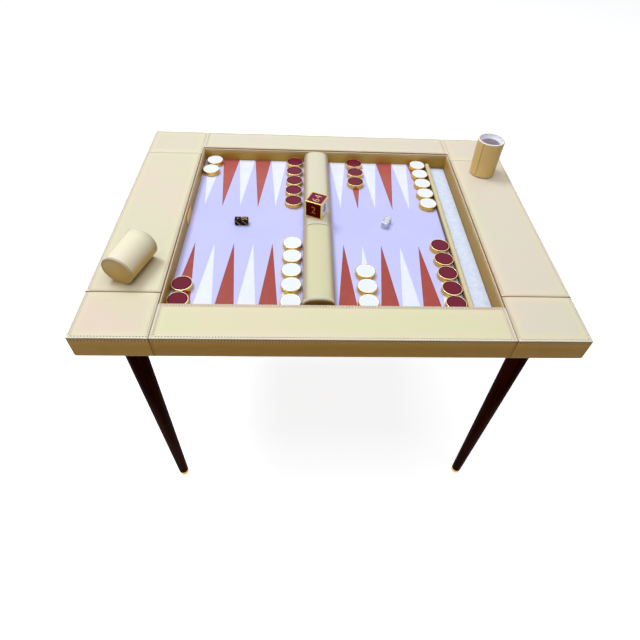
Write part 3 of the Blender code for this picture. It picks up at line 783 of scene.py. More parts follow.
for corner in CORNERS:
    low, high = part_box("ferrule_" + corner)
    middle = (low + high) / 2
    outer = (high.x - low.x) / 2
    floor_radius = outer - FERRULE_TAPER
    outline = [(outer - FERRULE_MOUTH, high.z - 0.0008), (outer - FERRULE_MOUTH, high.z - FERRULE_EDGE)]
    outline += round_off((outer - FERRULE_EDGE, high.z - FERRULE_EDGE), FERRULE_EDGE, 120, 0)
    outline += [(outer, FERRULE_LINE + FERRULE_LINE_DEPTH), (outer - FERRULE_LINE_DEPTH, FERRULE_LINE),
                (outer, FERRULE_LINE - FERRULE_LINE_DEPTH), (floor_radius, FERRULE_CHAMFER),
                (floor_radius - FERRULE_CHAMFER / 3, FERRULE_CHAMFER / 3),
                (floor_radius - FERRULE_CHAMFER, 0), (0, 0)]
    ferrule = turned("brass_ferrule_" + corner, outline, LEG_STEPS, brass)
    ferrule.location = (middle.x, middle.y, 0)
    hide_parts("ferrule_" + corner)
    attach(ferrule, "table")


# The recess is lined with thin boards wrapped in the same leather. They stand on the bottom board inside the
# frame and end in a narrow rolled lip a little below it, with a row of stitches just under the lip.

# The liner's upright colour is painted shade, as on the boards
liner_flat = (0.64, 0.53, 0.29, 1)
liner_upright_shade = (0.50, 0.32, 0.055, 1)
LINER_GAP = 0.0003
LINER_ROW = 0.0042
LINER_ROW_DEPTH = 0.0005
LINER_PAD = 0.0003
LINER_FOOT_SHADE = 0.004
LINER_RUN = 0.994
LIP_HEIGHT = 0.0028
LIP_STEPS = 8
LIT_BAND = 0.12

liner_leather = leather("liner_leather", liner_flat, liner_upright_shade, liner_flat)

liner_low, liner_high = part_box("recess_liner")
field_low, field_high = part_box("playing_field")
well_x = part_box("tray_felt")[1].x + LINER_GAP
well_y = field_high.y + LINER_GAP
liner_wall = liner_high.x - well_x
lip_half = liner_wall / 2
row_height = liner_high.z - LINER_ROW
# The section of the liner: how far out, how high, how much painted shade (at its foot and in its stitch
# groove) and how much painted light (along the top of the wall and over the lip)
profile = [(0, liner_low.z, 1.0, 0), (0, liner_low.z + 0.4 * LINER_FOOT_SHADE, 0.85, 0),
           (-LINER_PAD / 2, liner_low.z + LINER_FOOT_SHADE, 0.40, 0),
           (-LINER_PAD, liner_low.z + 0.012, 0.15, 0), (-LINER_PAD, liner_high.z - 0.016, 0, 0),
           (-LINER_PAD, liner_high.z - 0.010, 0, 0.4 * LIT_BAND),
           (-LINER_PAD / 2, row_height - 0.0012, 0.05, LIT_BAND),
           (LINER_ROW_DEPTH, row_height, 0.20, LIT_BAND),
           (0.0002, row_height + 0.0009, 0.05, LIT_BAND)]
for step in range(LIP_STEPS + 1):
    angle = radians(180 - 180 / LIP_STEPS * step)
    lip_drop = LIP_HEIGHT if step < LIP_STEPS / 2 else lip_half
    height = liner_high.z - lip_drop * (1 - sin(angle))
    profile.append((lip_half + lip_half * cos(angle), height, 0, LIT_BAND))
profile += [(liner_wall, liner_low.z, 0, 0)]
# The section is swept round the recess, with mitred corners
verts, faces = [], []
for offset, height, _, _ in profile:
    x, y = well_x + offset, well_y + offset
    verts += [(-x, -y, height), (x, -y, height), (x, y, height), (-x, y, height)]
for ring in range(len(profile)):
    faces += join_rings(ring * 4, (ring + 1) % len(profile) * 4, 4, inward=True)
liner = build_piece("recess_liner_leather", verts, faces, [liner_leather], angle=radians(60),
                    seam_shade=[shade for _, _, shade, _ in profile for _ in range(4)],
                    rolled_light=[light for _, _, _, light in profile for _ in range(4)])
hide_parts("recess_liner")
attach(liner, "table")

liner_stitches = []
for side in ((-1, 0), (1, 0), (0, -1), (0, 1)):
    inward = Vector((-side[0], -side[1], 0))
    middle = Vector((side[0] * well_x, side[1] * well_y, row_height)) - inward * LINER_ROW_DEPTH
    half_run = Vector((side[1] * well_x, -side[0] * well_y, 0)) * LINER_RUN
    row = row_of(middle - half_run, middle + half_run, TOP_PITCH)
    liner_stitches += [(*stitch, inward) for stitch in row]
sew("recess_liner_stitching", liner_stitches, TOP_PITCH, "table")


# A small plate of thin brass is let onto the left wall of the recess. It is left bare, with its corners cut
# off, its edges eased and its face brushed lengthwise, and two countersunk pins hold it.

PLATE_LENGTH = 0.058
PLATE_HEIGHT = 0.023
PLATE_THICKNESS = 0.0012
PLATE_CORNER = 0.002
PLATE_MIDDLE_Y = 0.011
PLATE_MIDDLE_Z = 0.741
PLATE_EDGE = 0.0005
PLATE_EDGE_STEPS = 3
FACING_OUT = 0.99
FINE_ANGLE = radians(30)
PIN_INSET = 0.004
PIN_RADIUS = 0.0011
PIN_PROUD = 0.0001
PIN_STEPS = 24

plate_gold = (0.86, 0.52, 0.070, 1)
plate_edge_shade_brown = (0.22, 0.105, 0.012, 1)
plate_brass = metal("plate_brass", plate_gold, plate_gold, 0.38, 0.2, 900.0)
# The plate's edges and back take a dark brown brass: painted shade on the faces turned from the light
plate_edge_shade = metal("plate_edge_shade", plate_edge_shade_brown, plate_edge_shade_brown, 0.45, 0.2, 900.0)
half_length, half_height = PLATE_LENGTH / 2, PLATE_HEIGHT / 2
plate_x = -well_x + LINER_PAD
outline = []
for y_side, z_side in ((-1, -1), (1, -1), (1, 1), (-1, 1)):
    first = (y_side * (half_length - PLATE_CORNER), z_side * half_height)
    second = (y_side * half_length, z_side * (half_height - PLATE_CORNER))
    outline += [first, second] if y_side * z_side < 0 else [second, first]
mesh = bpy.data.meshes.new("wall_plate")
with reshaped(mesh) as shape:
    verts = [shape.verts.new((plate_x, PLATE_MIDDLE_Y + y, PLATE_MIDDLE_Z + z)) for y, z in outline]
    raised = bmesh.ops.extrude_face_region(shape, geom=[shape.faces.new(verts)])["geom"]
    front_verts = [item for item in raised if isinstance(item, bmesh.types.BMVert)]
    bmesh.ops.translate(shape, vec=(PLATE_THICKNESS, 0, 0), verts=front_verts)
    front_edges = [edge for edge in shape.edges if all(vert in front_verts for vert in edge.verts)]
    bmesh.ops.bevel(shape, geom=front_edges, offset=PLATE_EDGE, segments=PLATE_EDGE_STEPS, affect="EDGES",
                    profile=0.5)
    bmesh.ops.recalc_face_normals(shape, faces=shape.faces)
plate = link_piece("wall_plate", mesh, plate_brass, plate_edge_shade)
# Only the front face keeps the bright brass; every other face takes the painted shade
for face in mesh.polygons:
    face.material_index = 0 if face.normal.x > FACING_OUT else 1
smooth(plate, FINE_ANGLE)
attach(plate, "table")

for index, side in enumerate((-1, 1)):
    pin_face = PLATE_THICKNESS + PIN_PROUD
    outline = [(0, pin_face), (0.6 * PIN_RADIUS, pin_face), (PIN_RADIUS, PLATE_THICKNESS),
               (PIN_RADIUS, PLATE_THICKNESS / 2), (0, PLATE_THICKNESS / 2)]
    pin = turned(f"wall_plate_pin_{index + 1}", outline, PIN_STEPS, plate_brass)
    pin.rotation_euler = (0, pi / 2, 0)
    pin.location = (plate_x, PLATE_MIDDLE_Y + side * (half_length - PIN_INSET), PLATE_MIDDLE_Z)
    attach(pin, "table")


# The floor of the recess is a birch board that closes it from below, and on it the playing field: a firm
# board covered in smooth lilac leather, pressed with a fine line along its sides.

lilac_flat = (0.568, 0.582, 0.975, 1)
lilac_shadow = (0.44, 0.45, 0.82, 1)
lilac_bright = (0.70, 0.725, 1.0, 1)
PRESSED_INSET = 0.0030
PRESSED_WIDTH = 0.0006
birch_dark = (0.46, 0.33, 0.19, 1)
birch_light = (0.62, 0.48, 0.30, 1)


def refinish(node, finish):
    """Gives its finish to a piece that keeps the shape it came with."""
    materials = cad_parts[node].data.materials
    materials.clear()
    materials.append(finish)


refinish("bottom_board", wood("birch_board", birch_dark, birch_light, 0.6, 1.0, 30.0, 0.3))

bar_low, bar_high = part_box("bar_back")
lilac_leather, tree, shader = new_material("lilac_leather", 0.42)
place = add_node(tree, "TexCoord")["Object"]
place_x = add_node(tree, "SeparateXYZ", {0: place})["X"]
pressed = None
for line in (field_low.x + PRESSED_INSET, bar_low.x - PRESSED_INSET, bar_high.x + PRESSED_INSET,
             field_high.x - PRESSED_INSET):
    off_line = work_out(tree, "ABSOLUTE", work_out(tree, "SUBTRACT", place_x, line))
    on_line = spread(tree, off_line, 0.0, PRESSED_WIDTH, 1.0, 0.0)
    pressed = on_line if pressed is None else work_out(tree, "MAXIMUM", pressed, on_line)
cloud = times(tree, spread(tree, noise(tree, place, 7.0), 0.35, 0.65), 0.16)
ground = mix_colours(tree, cloud, lilac_flat, lilac_bright)
grain = place_group(tree, hide_grain, {"Grain Size": 0.0008, "Swell": 0.15})
relief = work_out(tree, "SUBTRACT", grain["Height"], times(tree, pressed, 4.0))
# The pressed lines are darkened as well: painted shade in the crease
shadow = times(tree, pressed, 0.7)
feed(tree, shader, {"Base Color": mix_colours(tree, shadow, ground, lilac_shadow),
                    "Normal": bump(tree, relief, 0.00008, 0.5)})
refinish("playing_field", lilac_leather)


# Twenty-four long points of thinner leather, white and brick red in turn, are let into pockets in the field
# so that they lie flush with it. Their eased edges and sides are drawn in a darker tone, a fine line round
# each.

# Each leather by its place: its name, its dye and the colour of its edge. The far red row is paler than the
# near one, painted sheen for the light that the far row catches.
POINT_DYES = {"white": ("white_point_leather", (0.84, 0.89, 1.0), (0.66, 0.68, 0.90, 1)),
              "red near": ("red_point_leather", (0.370, 0.056, 0.040), (0.24, 0.040, 0.030, 1)),
              "red far": ("far_red_point_leather_painted_sheen", (0.450, 0.098, 0.080), (0.24, 0.040, 0.030, 1))}
POINT_ROUGHNESS = 0.40
POINT_HALF_BASE = 0.0222
POINT_BASE_Y = 0.3017
POINT_TIP_Y = 0.0732
POCKET_FLOOR = 0.7251
POINT_TOP = 0.72605
POINT_EASED = 0.00015
POINT_EDGE = 0.0009
POINT_PITCH = 0.0452
FIRST_POINTS = (("left", -0.3188), ("right", 0.0306))
POINTS_PER_HALF = 6

point_leathers = {}
for dye, (name, colour, edge_colour) in POINT_DYES.items():
    point_leathers[dye], tree, shader = new_material(name, POINT_ROUGHNESS)
    scuffs = noise(tree, add_node(tree, "TexCoord")["Object"], 45.0, 5.0, 0.65)
    scuff_mask = times(tree, spread(tree, scuffs, 0.45, 0.8), 0.6)
    paler = tuple(min(1.0, 1.12 * channel + 0.02) for channel in colour)
    ground = mix_colours(tree, scuff_mask, (*colour, 1), (*paler, 1))
    grain = place_group(tree, hide_grain, {"Grain Size": 0.0007, "Swell": 0.15})
    feed(tree, shader, {"Base Color": mix_colours(tree, painted(tree, "seam_shade"), ground, edge_colour),
                        "Roughness": plus(tree, grain["Sheen"], POINT_ROUGHNESS),
                        "Specular IOR Level": 0.3, "Normal": bump(tree, grain["Height"], 0.00008, 0.4)})


def inner_triangle(corners, inset):
    """A triangle moved inward from all three sides by the same distance."""
    lengths = [(corners[(index + 1) % 3] - corners[(index + 2) % 3]).length for index in range(3)]
    centre = sum((corner * length for corner, length in zip(corners, lengths)), Vector((0, 0))) / sum(lengths)
    edge_one, edge_two = corners[1] - corners[0], corners[2] - corners[0]
    radius = abs(edge_one.x * edge_two.y - edge_one.y * edge_two.x) / sum(lengths)
    return [centre + (corner - centre) * (1 - inset / radius) for corner in corners]


# Each level of a point, from its floor up to its face: inset, height and shade
POINT_LEVELS = ((0, POCKET_FLOOR, 0.9), (0, POINT_TOP - POINT_EASED, 0.9),
                (0.25 * POINT_EDGE, POINT_TOP, 0.85), (POINT_EDGE, POINT_TOP + POINT_EASED / 2, 0.0))
point_faces = [(0, 1, 2)]
for level in range(3, 3 * len(POINT_LEVELS), 3):
    point_faces += join_rings(level - 3, level, 3)
point_faces.append((level, level + 1, level + 2))
for half, first_middle in FIRST_POINTS:
    for index in range(POINTS_PER_HALF):
        for side, row_name in ((-1, "near"), (1, "far")):
            middle = first_middle + index * POINT_PITCH
            dye = "white" if (index % 2 == 0) == (side > 0) else "red " + row_name
            corners = [Vector((middle - POINT_HALF_BASE, side * POINT_BASE_Y)),
                       Vector((middle + POINT_HALF_BASE, side * POINT_BASE_Y)),
                       Vector((middle, side * POINT_TIP_Y))]
            verts = [(*corner, height) for inset, height, _ in POINT_LEVELS
                     for corner in inner_triangle(corners, inset)]
            inlay = build_piece(f"point_{half}_{row_name}_{index + 1}", verts, point_faces,
                                [point_leathers[dye]], angle=radians(50),
                                seam_shade=[shade for _, _, shade in POINT_LEVELS for _ in range(3)])
            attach(inlay, "table")


# A rail wrapped in leather parts the playing field from the tray for borne-off pieces. It is rounded over its
# top and stops short of the far wall. The tray's floor is a strip of pale grey wool felt.

# The rail's dark upright colour is painted shade on its sides
rail_flat = (0.67, 0.63, 0.38, 1)
rail_upright_shade = (0.20, 0.115, 0.03, 1)
RAIL_ROUNDING = 0.0060
RAIL_END_ROUNDING = 0.0055
RAIL_FOOT_ROUNDING = 0.0006
RAIL_ROUNDING_STEPS = 8
felt_light = (0.78, 0.87, 1.0, 1)
felt_dark = (0.62, 0.71, 0.93, 1)

rail_leather = leather("rail_leather", rail_flat, rail_upright_shade, rail_flat)
radii = {"rest": RAIL_FOOT_ROUNDING, (-1, 0, 1): RAIL_ROUNDING, (1, 0, 1): RAIL_ROUNDING,
         (0, 1, 1): RAIL_ROUNDING, (-1, 1, 0): RAIL_END_ROUNDING, (1, 1, 0): RAIL_END_ROUNDING}
rail = rounded_block("tray_rail", *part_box("tray_divider"), radii, RAIL_ROUNDING_STEPS, rail_leather)
smooth(rail)
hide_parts("tray_divider")
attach(rail, "table")

grey_felt, tree, shader = new_material("grey_felt", 0.95)
place = add_node(tree, "TexCoord")["Object"]
fibres = noise(tree, stretch(tree, place, (1.0, 0.25, 1.0)), 900.0, 5.0, 0.75)
matting = noise(tree, place, 70.0, 4.0, 0.6)
fuzz = plus(tree, times(tree, fibres, 0.6), times(tree, matting, 0.4))
feed(tree, shader, {"Base Color": mix_colours(tree, spread(tree, fuzz, 0.36, 0.58), felt_dark, felt_light),
                    "Sheen Weight": 0.3, "Normal": bump(tree, fuzz, 0.0006, 0.7)})
refinish("tray_felt", grey_felt)


# The centre bar is made as two loose halves. Each is a core planed to a full arch, with one sheet of leather
# drawn tight over it and turned under at the foot and the ends. They lift out to get at the field.

# The bar's upright colour is painted shade on its shoulders and sides. Its feet and ends take painted shade,
# least at the front bar's near end and only a little on the flat of each end; the roll of each end takes a
# painted highlight.
bar_flat = (0.635, 0.615, 0.425, 1)
bar_upright_shade = (0.26, 0.150, 0.030, 1)
bar_straw = (0.565, 0.555, 0.215, 1)
BAR_STEEPEST = 0.74
BAR_FLATTEST = 0.982
BAR_RISE = 0.022
BAR_FULLNESS = 2.5
BAR_ARCH_STEPS = 40
BAR_END = 0.0034
BAR_NEAR_END = 0.0112
BAR_END_STEPS = 8
BAR_SIDE_SHARE = 0.4
BAR_FOOT = 0.0030
BAR_FOOT_SHADE = 0.5
BAR_END_SHADE = 0.85
BAR_NEAR_END_SHADE = 0.12
BAR_ROLL_LIGHT = 0.75
BAR_CAP_BORDER = 0.0022
BAR_CAP_SHADE = 0.05

bar_leather = leather("bar_leather", bar_flat, bar_upright_shade, bar_straw, steepest=BAR_STEEPEST,
                      flattest=BAR_FLATTEST)


def bar_sections(low, high, near_end, far_end):
    """Places along a bar, with how far its section is drawn in at each, and the share of the end's roll. The
    flat of an end, inside its border, has a share of 2."""
    ends = []
    for start, inward, reach in ((low.y, 1, near_end), (high.y, -1, far_end)):
        end = [(start, reach + BAR_CAP_BORDER, 2)]
        for step in range(BAR_END_STEPS + 1):
            turn = pi / 2 * step / BAR_END_STEPS
            end.append((start + inward * reach * (1 - cos(turn)), reach * (1 - sin(turn)), 1 - sin(turn)))
        ends.append(end)
    between = [(low.y + (high.y - low.y) * share, 0.0, 0.0) for share in (0.1, 0.5, 0.9)]
    return ends[0] + between + ends[1][::-1]


def arched_bar(name, low, high, near_end, far_end, straw):
    """A bar with an arched section and rolled ends. Straw says how far its hide leans to that tone."""
    middle = (low.x + high.x) / 2
    half_width = (high.x - low.x) / 2
    spring = high.z - BAR_RISE
    verts, rolled, shade = [], [], []
    for place, drawn_in, share in bar_sections(low, high, near_end, far_end):
        reach = half_width - BAR_SIDE_SHARE * drawn_in
        rise = BAR_RISE - drawn_in
        foot = low.z + (BAR_CAP_BORDER if share > 1 else 0)
        ring = [(-reach, foot, BAR_FOOT_SHADE), (-reach, foot + BAR_FOOT, 0.0)]
        for step in range(BAR_ARCH_STEPS + 1):
            turn = pi * (1 - step / BAR_ARCH_STEPS)
            across = reach * abs(cos(turn)) ** (2 / BAR_FULLNESS) * (1 if cos(turn) > 0 else -1)
            ring.append((across, spring + rise * max(sin(turn), 0.0) ** (2 / BAR_FULLNESS), 0.0))
        ring += [(reach, foot + BAR_FOOT, 0.0), (reach, foot, BAR_FOOT_SHADE)]
        verts += [(middle + across, place, height) for across, height, _ in ring]
        at_near_end = near_end == BAR_NEAR_END and place < low.y + near_end
        # Feet and ends take painted shade, and the roll of each end a painted highlight
        end_shade = (BAR_NEAR_END_SHADE if at_near_end else BAR_END_SHADE) * ease((share - 0.7) / 0.3)
        shade += [BAR_CAP_SHADE if share > 1 else max(dark, end_shade) for _, _, dark in ring]
        rolled += [BAR_ROLL_LIGHT * dip(share, 0.18, 0.20)] * len(ring)
    count = BAR_ARCH_STEPS + 5
    faces = [tuple(range(count)), tuple(range(len(verts) - 1, len(verts) - 1 - count, -1))]
    for near in range(0, len(verts) - count, count):
        faces += join_rings(near, near + count, count)
    return build_piece(name, verts, faces, [bar_leather], angle=SMOOTH_ANGLE,
                       crown_band=[straw] * len(verts), rolled_light=rolled, seam_shade=shade)


for name, near_end, straw in (("bar_front", BAR_NEAR_END, 0.85), ("bar_back", BAR_END, 0.12)):
    bar = arched_bar(name + "_leather", *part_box(name), near_end, BAR_END, straw)
    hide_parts(name)
    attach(bar, name)


# The thirty playing pieces are turned brass discs with a fine raised rim, filled with glossy enamel in white
# or maroon. The enamel creeps up the rim as it cools. A ring round its edge is painted in another tone:
# painted reflection of the rim on the white, and painted shade of the rim on the maroon.

CHECKER_RADIUS = 0.0225
CHECKER_THICKNESS = 0.012
CHECKER_EDGE = 0.0008
CHECKER_RIM = 0.0015
CHECKER_RIM_EDGE = 0.0002
CHECKER_RECESS = 0.0005
CHECKER_STEPS = 96
CHECKERS_EACH = 15
CHECKER_TURN_DEGREES = 47
ENAMEL_RADIUS = 0.0209
ENAMEL_TOP = 0.01172
ENAMEL_CREEP = 0.00022
ENAMEL_GAP = 0.00002
ENAMEL_ROUGHNESS = 0.22
ENAMEL_GLOSS = 0.12
white_enamel_centre = (0.87, 0.935, 1.0, 1)
white_enamel_rim_reflection = (0.98, 0.98, 0.99, 1)
maroon_enamel_centre = (0.172, 0.012, 0.034, 1)
maroon_enamel_rim_shade = (0.100, 0.004, 0.016, 1)
white_rim_lit_top = (0.62, 0.47, 0.17, 1)

enamel_pool, given, out = new_group(
    "enamel_pool", {"Centre Colour": white_enamel_centre, "Painted Rim Colour": white_enamel_rim_reflection,
                    "Radius": ENAMEL_RADIUS},
    {"Colour": "Color", "Height": "Float", "Dullness": "Float"})
tree = enamel_pool
place = add_node(tree, "TexCoord")["Object"]
level = stretch(tree, place, (1, 1, 0))
from_middle = add_node(tree, "VectorMath", {0: level}, operation="LENGTH")["Value"]
ring = spread(tree, work_out(tree, "DIVIDE", from_middle, given["Radius"]), 0.80, 0.93)
swirl = noise(tree, place, 120.0)
rim_paint_mask = times(tree, ring, spread(tree, swirl, 0.2, 0.6, 0.8, 1.0))
feed(tree, out, {"Colour": mix_colours(tree, rim_paint_mask, given["Centre Colour"], given["Painted Rim Colour"]),
                 "Height": swirl, "Dullness": spread(tree, swirl, 0.3, 0.7, -0.03, 0.04)})


def enamel(name, centre, edge, radius, roughness=ENAMEL_ROUGHNESS, gloss=ENAMEL_GLOSS):
    """Poured enamel with a painted ring round its edge: painted shade where it is darker, painted reflection
    where it is paler.
    """
    inputs = {"Centre Colour": centre, "Painted Rim Colour": edge, "Radius": radius}
    material, tree, shader = group_material(name, enamel_pool, inputs, roughness, 0.00005, 0.4)
    feed(tree, shader, {"Specular IOR Level": gloss})
    return material


enamels = {"white": enamel("white_enamel", white_enamel_centre, white_enamel_rim_reflection, ENAMEL_RADIUS),
           "maroon": enamel("maroon_enamel", maroon_enamel_centre, maroon_enamel_rim_shade, ENAMEL_RADIUS)}
rims = {"white": metal("white_checker_brass", brass_colour, white_rim_lit_top, BRASS_ROUGHNESS, 0.3, 400.0),
        "maroon": brass}
inner_radius = CHECKER_RADIUS - CHECKER_RIM
edge_radius = CHECKER_RADIUS - CHECKER_EDGE
recess_height = CHECKER_THICKNESS - CHECKER_RECESS
disc_outline = [(0, recess_height), (inner_radius, recess_height)]
disc_outline += round_off((inner_radius + CHECKER_RIM_EDGE, CHECKER_THICKNESS - CHECKER_RIM_EDGE),
                          CHECKER_RIM_EDGE, 180, 90, 3)
disc_outline += round_off((edge_radius, CHECKER_THICKNESS - CHECKER_EDGE), CHECKER_EDGE, 90, 0)
disc_outline += round_off((edge_radius, CHECKER_EDGE), CHECKER_EDGE, 0, -90)
disc_outline += [(0, 0)]
pool_outline = [(share * ENAMEL_RADIUS, ENAMEL_TOP + creep * ENAMEL_CREEP)
                for share, creep in ((0, 0), (0.60, 0), (0.86, 0), (0.95, 0.4), (1, 1))]
pool_outline += [(ENAMEL_RADIUS, recess_height + ENAMEL_GAP), (0, recess_height + ENAMEL_GAP)]
for colour in ("white", "maroon"):
    patterns = {"disc": turned("checker_disc_" + colour, disc_outline, CHECKER_STEPS, rims[colour]),
                "enamel": turned("checker_enamel_" + colour, pool_outline, CHECKER_STEPS, enamels[colour])}
    for number in range(1, CHECKERS_EACH + 1):
        node = f"checker_{colour}_{number:02d}"
        low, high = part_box(node)
        for part, pattern in patterns.items():
            piece = link_piece(f"{node}_{part}", pattern.data)
            piece.location = ((low.x + high.x) / 2, (low.y + high.y) / 2, low.z)
            piece.rotation_euler = (0, 0, radians(CHECKER_TURN_DEGREES * number))
            if part == "disc":
                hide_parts(node)
            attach(piece, node)
    for pattern in patterns.values():
        bpy.data.objects.remove(pattern, do_unlink=True)


# Two pairs of small dice are cast in black and in white resin and tumbled until their corners are round. The
# pips are drilled as shallow cups and painted gold. Opposite faces add up to seven.

DIE_SIZE = 0.016
DIE_ROUNDING = 0.0022
DIE_ROUNDING_STEPS = 6
PIP_SINK = 0.00090
PIP_SPREAD = 0.0041
PIP_CUTTER_RADIUS = 0.0026
PIP_SMOOTHNESS = 3
RESIN_COAT_ROUGHNESS = 0.05
black_resin_deep = (0.003, 0.003, 0.006, 1)
black_resin_clear = (0.006, 0.006, 0.012, 1)
white_resin_deep = (0.60, 0.70, 0.86, 1)
white_resin_clear = (0.76, 0.84, 0.97, 1)
pip_paint = (0.46, 0.25, 0.035, 1)
PIP_PLACES = {1: [(0, 0)], 2: [(-1, 0), (1, 0)], 3: [(-1, 1), (0, 0), (1, -1)],
              4: [(-1, -1), (-1, 1), (1, -1), (1, 1)],
              5: [(-1, -1), (-1, 1), (1, -1), (1, 1), (0, 0)],
              6: [(-1, -1), (-1, 0), (-1, 1), (1, -1), (1, 0), (1, 1)]}


def resin(name, deep, clear, roughness, gloss, coat):
    """Cast resin, faintly cloudy and polished."""
    material, tree, shader = new_material(name, roughness)
    cloudy = noise(tree, add_node(tree, "TexCoord")["Object"], 260.0)
    feed(tree, shader, {"Base Color": mix_colours(tree, cloudy, deep, clear),
                        "Roughness": spread(tree, cloudy, 0.3, 0.7, roughness, roughness + 0.06),
                        "Specular IOR Level": gloss, "Coat Weight": coat,
                        "Coat Roughness": RESIN_COAT_ROUGHNESS, "Normal": bump(tree, cloudy, 0.00004, 0.3)})
    return material


pip_gold = metal("pip_gold", pip_paint, pip_paint, 0.40, 0.2, 1200.0)
resins = {"black": resin("black_resin", black_resin_deep, black_resin_clear, 0.14, 0.08, 0.04),
          "white": resin("white_resin", white_resin_deep, white_resin_clear, 0.18, 0.30, 0.15)}


def rounded_cube(name, size, rounding, steps, *finishes):
    """A cube about its own middle, with rounded edges."""
    half = Vector((size, size, size)) / 2
    return rounded_block(name, -half, half, {"rest": rounding}, steps, *finishes)


def drilled_die(name, finish, faces):
    """A die about its own middle. Faces maps a face's outward and upward directions to its number."""
    die = rounded_cube(name, DIE_SIZE, DIE_ROUNDING, DIE_ROUNDING_STEPS, finish, pip_gold)
    cutter_mesh = bpy.data.meshes.new("pips")
    with reshaped(cutter_mesh) as shape:
        for (outward, upward), number in faces.items():
            out_axis, up_axis = Vector(outward), Vector(upward)
            right_axis = up_axis.cross(out_axis)
            for across, up in PIP_PLACES[number]:
                centre = out_axis * (DIE_SIZE / 2 + PIP_CUTTER_RADIUS - PIP_SINK)
                centre += (right_axis * across + up_axis * up) * PIP_SPREAD
                bmesh.ops.create_icosphere(shape, subdivisions=PIP_SMOOTHNESS, radius=PIP_CUTTER_RADIUS,
                                           matrix=Matrix.Translation(centre))
    cutter = link_piece("pip_cutter", cutter_mesh, finish, pip_gold)
    cutter_mesh.polygons.foreach_set("material_index", [1] * len(cutter_mesh.polygons))
    drill = die.modifiers.new("pips", "BOOLEAN")
    drill.operation = "DIFFERENCE"
    drill.solver = "EXACT"
    drill.material_mode = "TRANSFER"
    drill.object = cutter
    settle_mesh(die)
    bpy.data.objects.remove(cutter, do_unlink=True)
    smooth(die, radians(35))
    return die


def die_faces(top, front, right):
    """Numbers on all six faces, from the top's, the front's and the right side's."""
    return {((0, 0, 1), (0, 1, 0)): top, ((0, 0, -1), (0, 1, 0)): 7 - top,
            ((0, -1, 0), (0, 0, 1)): front, ((0, 1, 0), (0, 0, 1)): 7 - front,
            ((1, 0, 0), (0, 0, 1)): right, ((-1, 0, 0), (0, 0, 1)): 7 - right}


WHITE_DICE_TURN = radians(-35)
dice = {"die_black_1": ("black", die_faces(1, 3, 5), 0), "die_black_2": ("black", die_faces(5, 3, 6), 0),
        "die_white_1": ("white", die_faces(2, 3, 1), WHITE_DICE_TURN),
        "die_white_2": ("white", die_faces(4, 6, 2), WHITE_DICE_TURN)}
for name, (colour, faces, turn) in dice.items():
    low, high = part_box(name)
    die = drilled_die(name + "_resin", resins[colour], faces)
    die.location = (low + high) / 2
    die.rotation_euler = (0, 0, turn)
    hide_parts(name)
    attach(die, name)


# The doubling cube is a gilt metal frame with six sunk panels of enamel, maroon and white by turns. Each
# carries one plain number of the doubling row, from 2 to 64, in raised strokes.

CUBE_SIZE = 0.042
CUBE_TURN = radians(-24.2)
CUBE_FRAME = 0.0024
CUBE_SINK = 0.0006
CUBE_SINK_SLOPE = 0.00012
CUBE_EDGE = 0.0007
CUBE_EDGE_STEPS = 3
CUBE_POOL_RADIUS = 0.024
NUMBER_SIZE = 0.0190 / 0.70
NUMBER_PROUD = 0.00022
NUMBER_BEVEL = 0.00008
NUMBER_SPACING = 1.12
NUMBER_WIDEST = 0.66
NUMBER_THINNING = {"maroon": 0.00046, "shaded_maroon": 0.00060, "white": -0.00012}
frame_gold = (0.90, 0.68, 0.14, 1)
# The gilt numbers turn pale gold where they face up: painted highlight
pale_gold = (0.66, 0.46, 0.25, 1)
olive_gold = (0.42, 0.24, 0.04, 1)
number_brown = (0.028, 0.012, 0.012, 1)
number_brown_worn = (0.08, 0.035, 0.03, 1)
cube_white = (0.96, 0.94, 1.0, 1)
cube_white_rim_reflection = (0.98, 0.96, 1.0, 1)
cube_maroon = (0.190, 0.009, 0.050, 1)
cube_maroon_rim_shade = (0.18, 0.008, 0.045, 1)
# The front and left maroon panels take a darker, duller copy of the maroon: painted shade for the weaker
# light on them
cube_shaded_maroon = (0.140, 0.0040, 0.0020, 1)
cube_shaded_maroon_rim_shade = (0.100, 0.0030, 0.0015, 1)
# Each face's number, its outward and upward directions, and its enamel
CUBE_FACES = (
    ("64", (0, 0, 1), (-1, 0, 0), "maroon"), ("4", (0, 0, -1), (0, 1, 0), "white"),
    ("2", (0, -1, 0), (0, 0, 1), "shaded_maroon"), ("16", (0, 1, 0), (0, 0, 1), "white"),
    ("8", (1, 0, 0), (0, 0, 1), "white"), ("32", (-1, 0, 0), (0, 0, 1), "shaded_maroon"))

frame_gilt = metal("frame_gilt", frame_gold, frame_gold, 0.26, 0.10, 700.0)
number_gilt = metal("number_gilt", olive_gold, pale_gold, 0.45, 0.1, 1500.0)
number_ink = uneven_material("number_ink", 0.35, 800.0, number_brown, number_brown_worn)
cube_enamels = {
    "white": enamel("cube_white_enamel", cube_white, cube_white_rim_reflection, CUBE_POOL_RADIUS),
    "maroon": enamel("cube_maroon_enamel", cube_maroon, cube_maroon_rim_shade, CUBE_POOL_RADIUS),
    "shaded_maroon": enamel("cube_shaded_maroon_enamel", cube_shaded_maroon, cube_shaded_maroon_rim_shade, CUBE_POOL_RADIUS, 0.3, 0.01)}

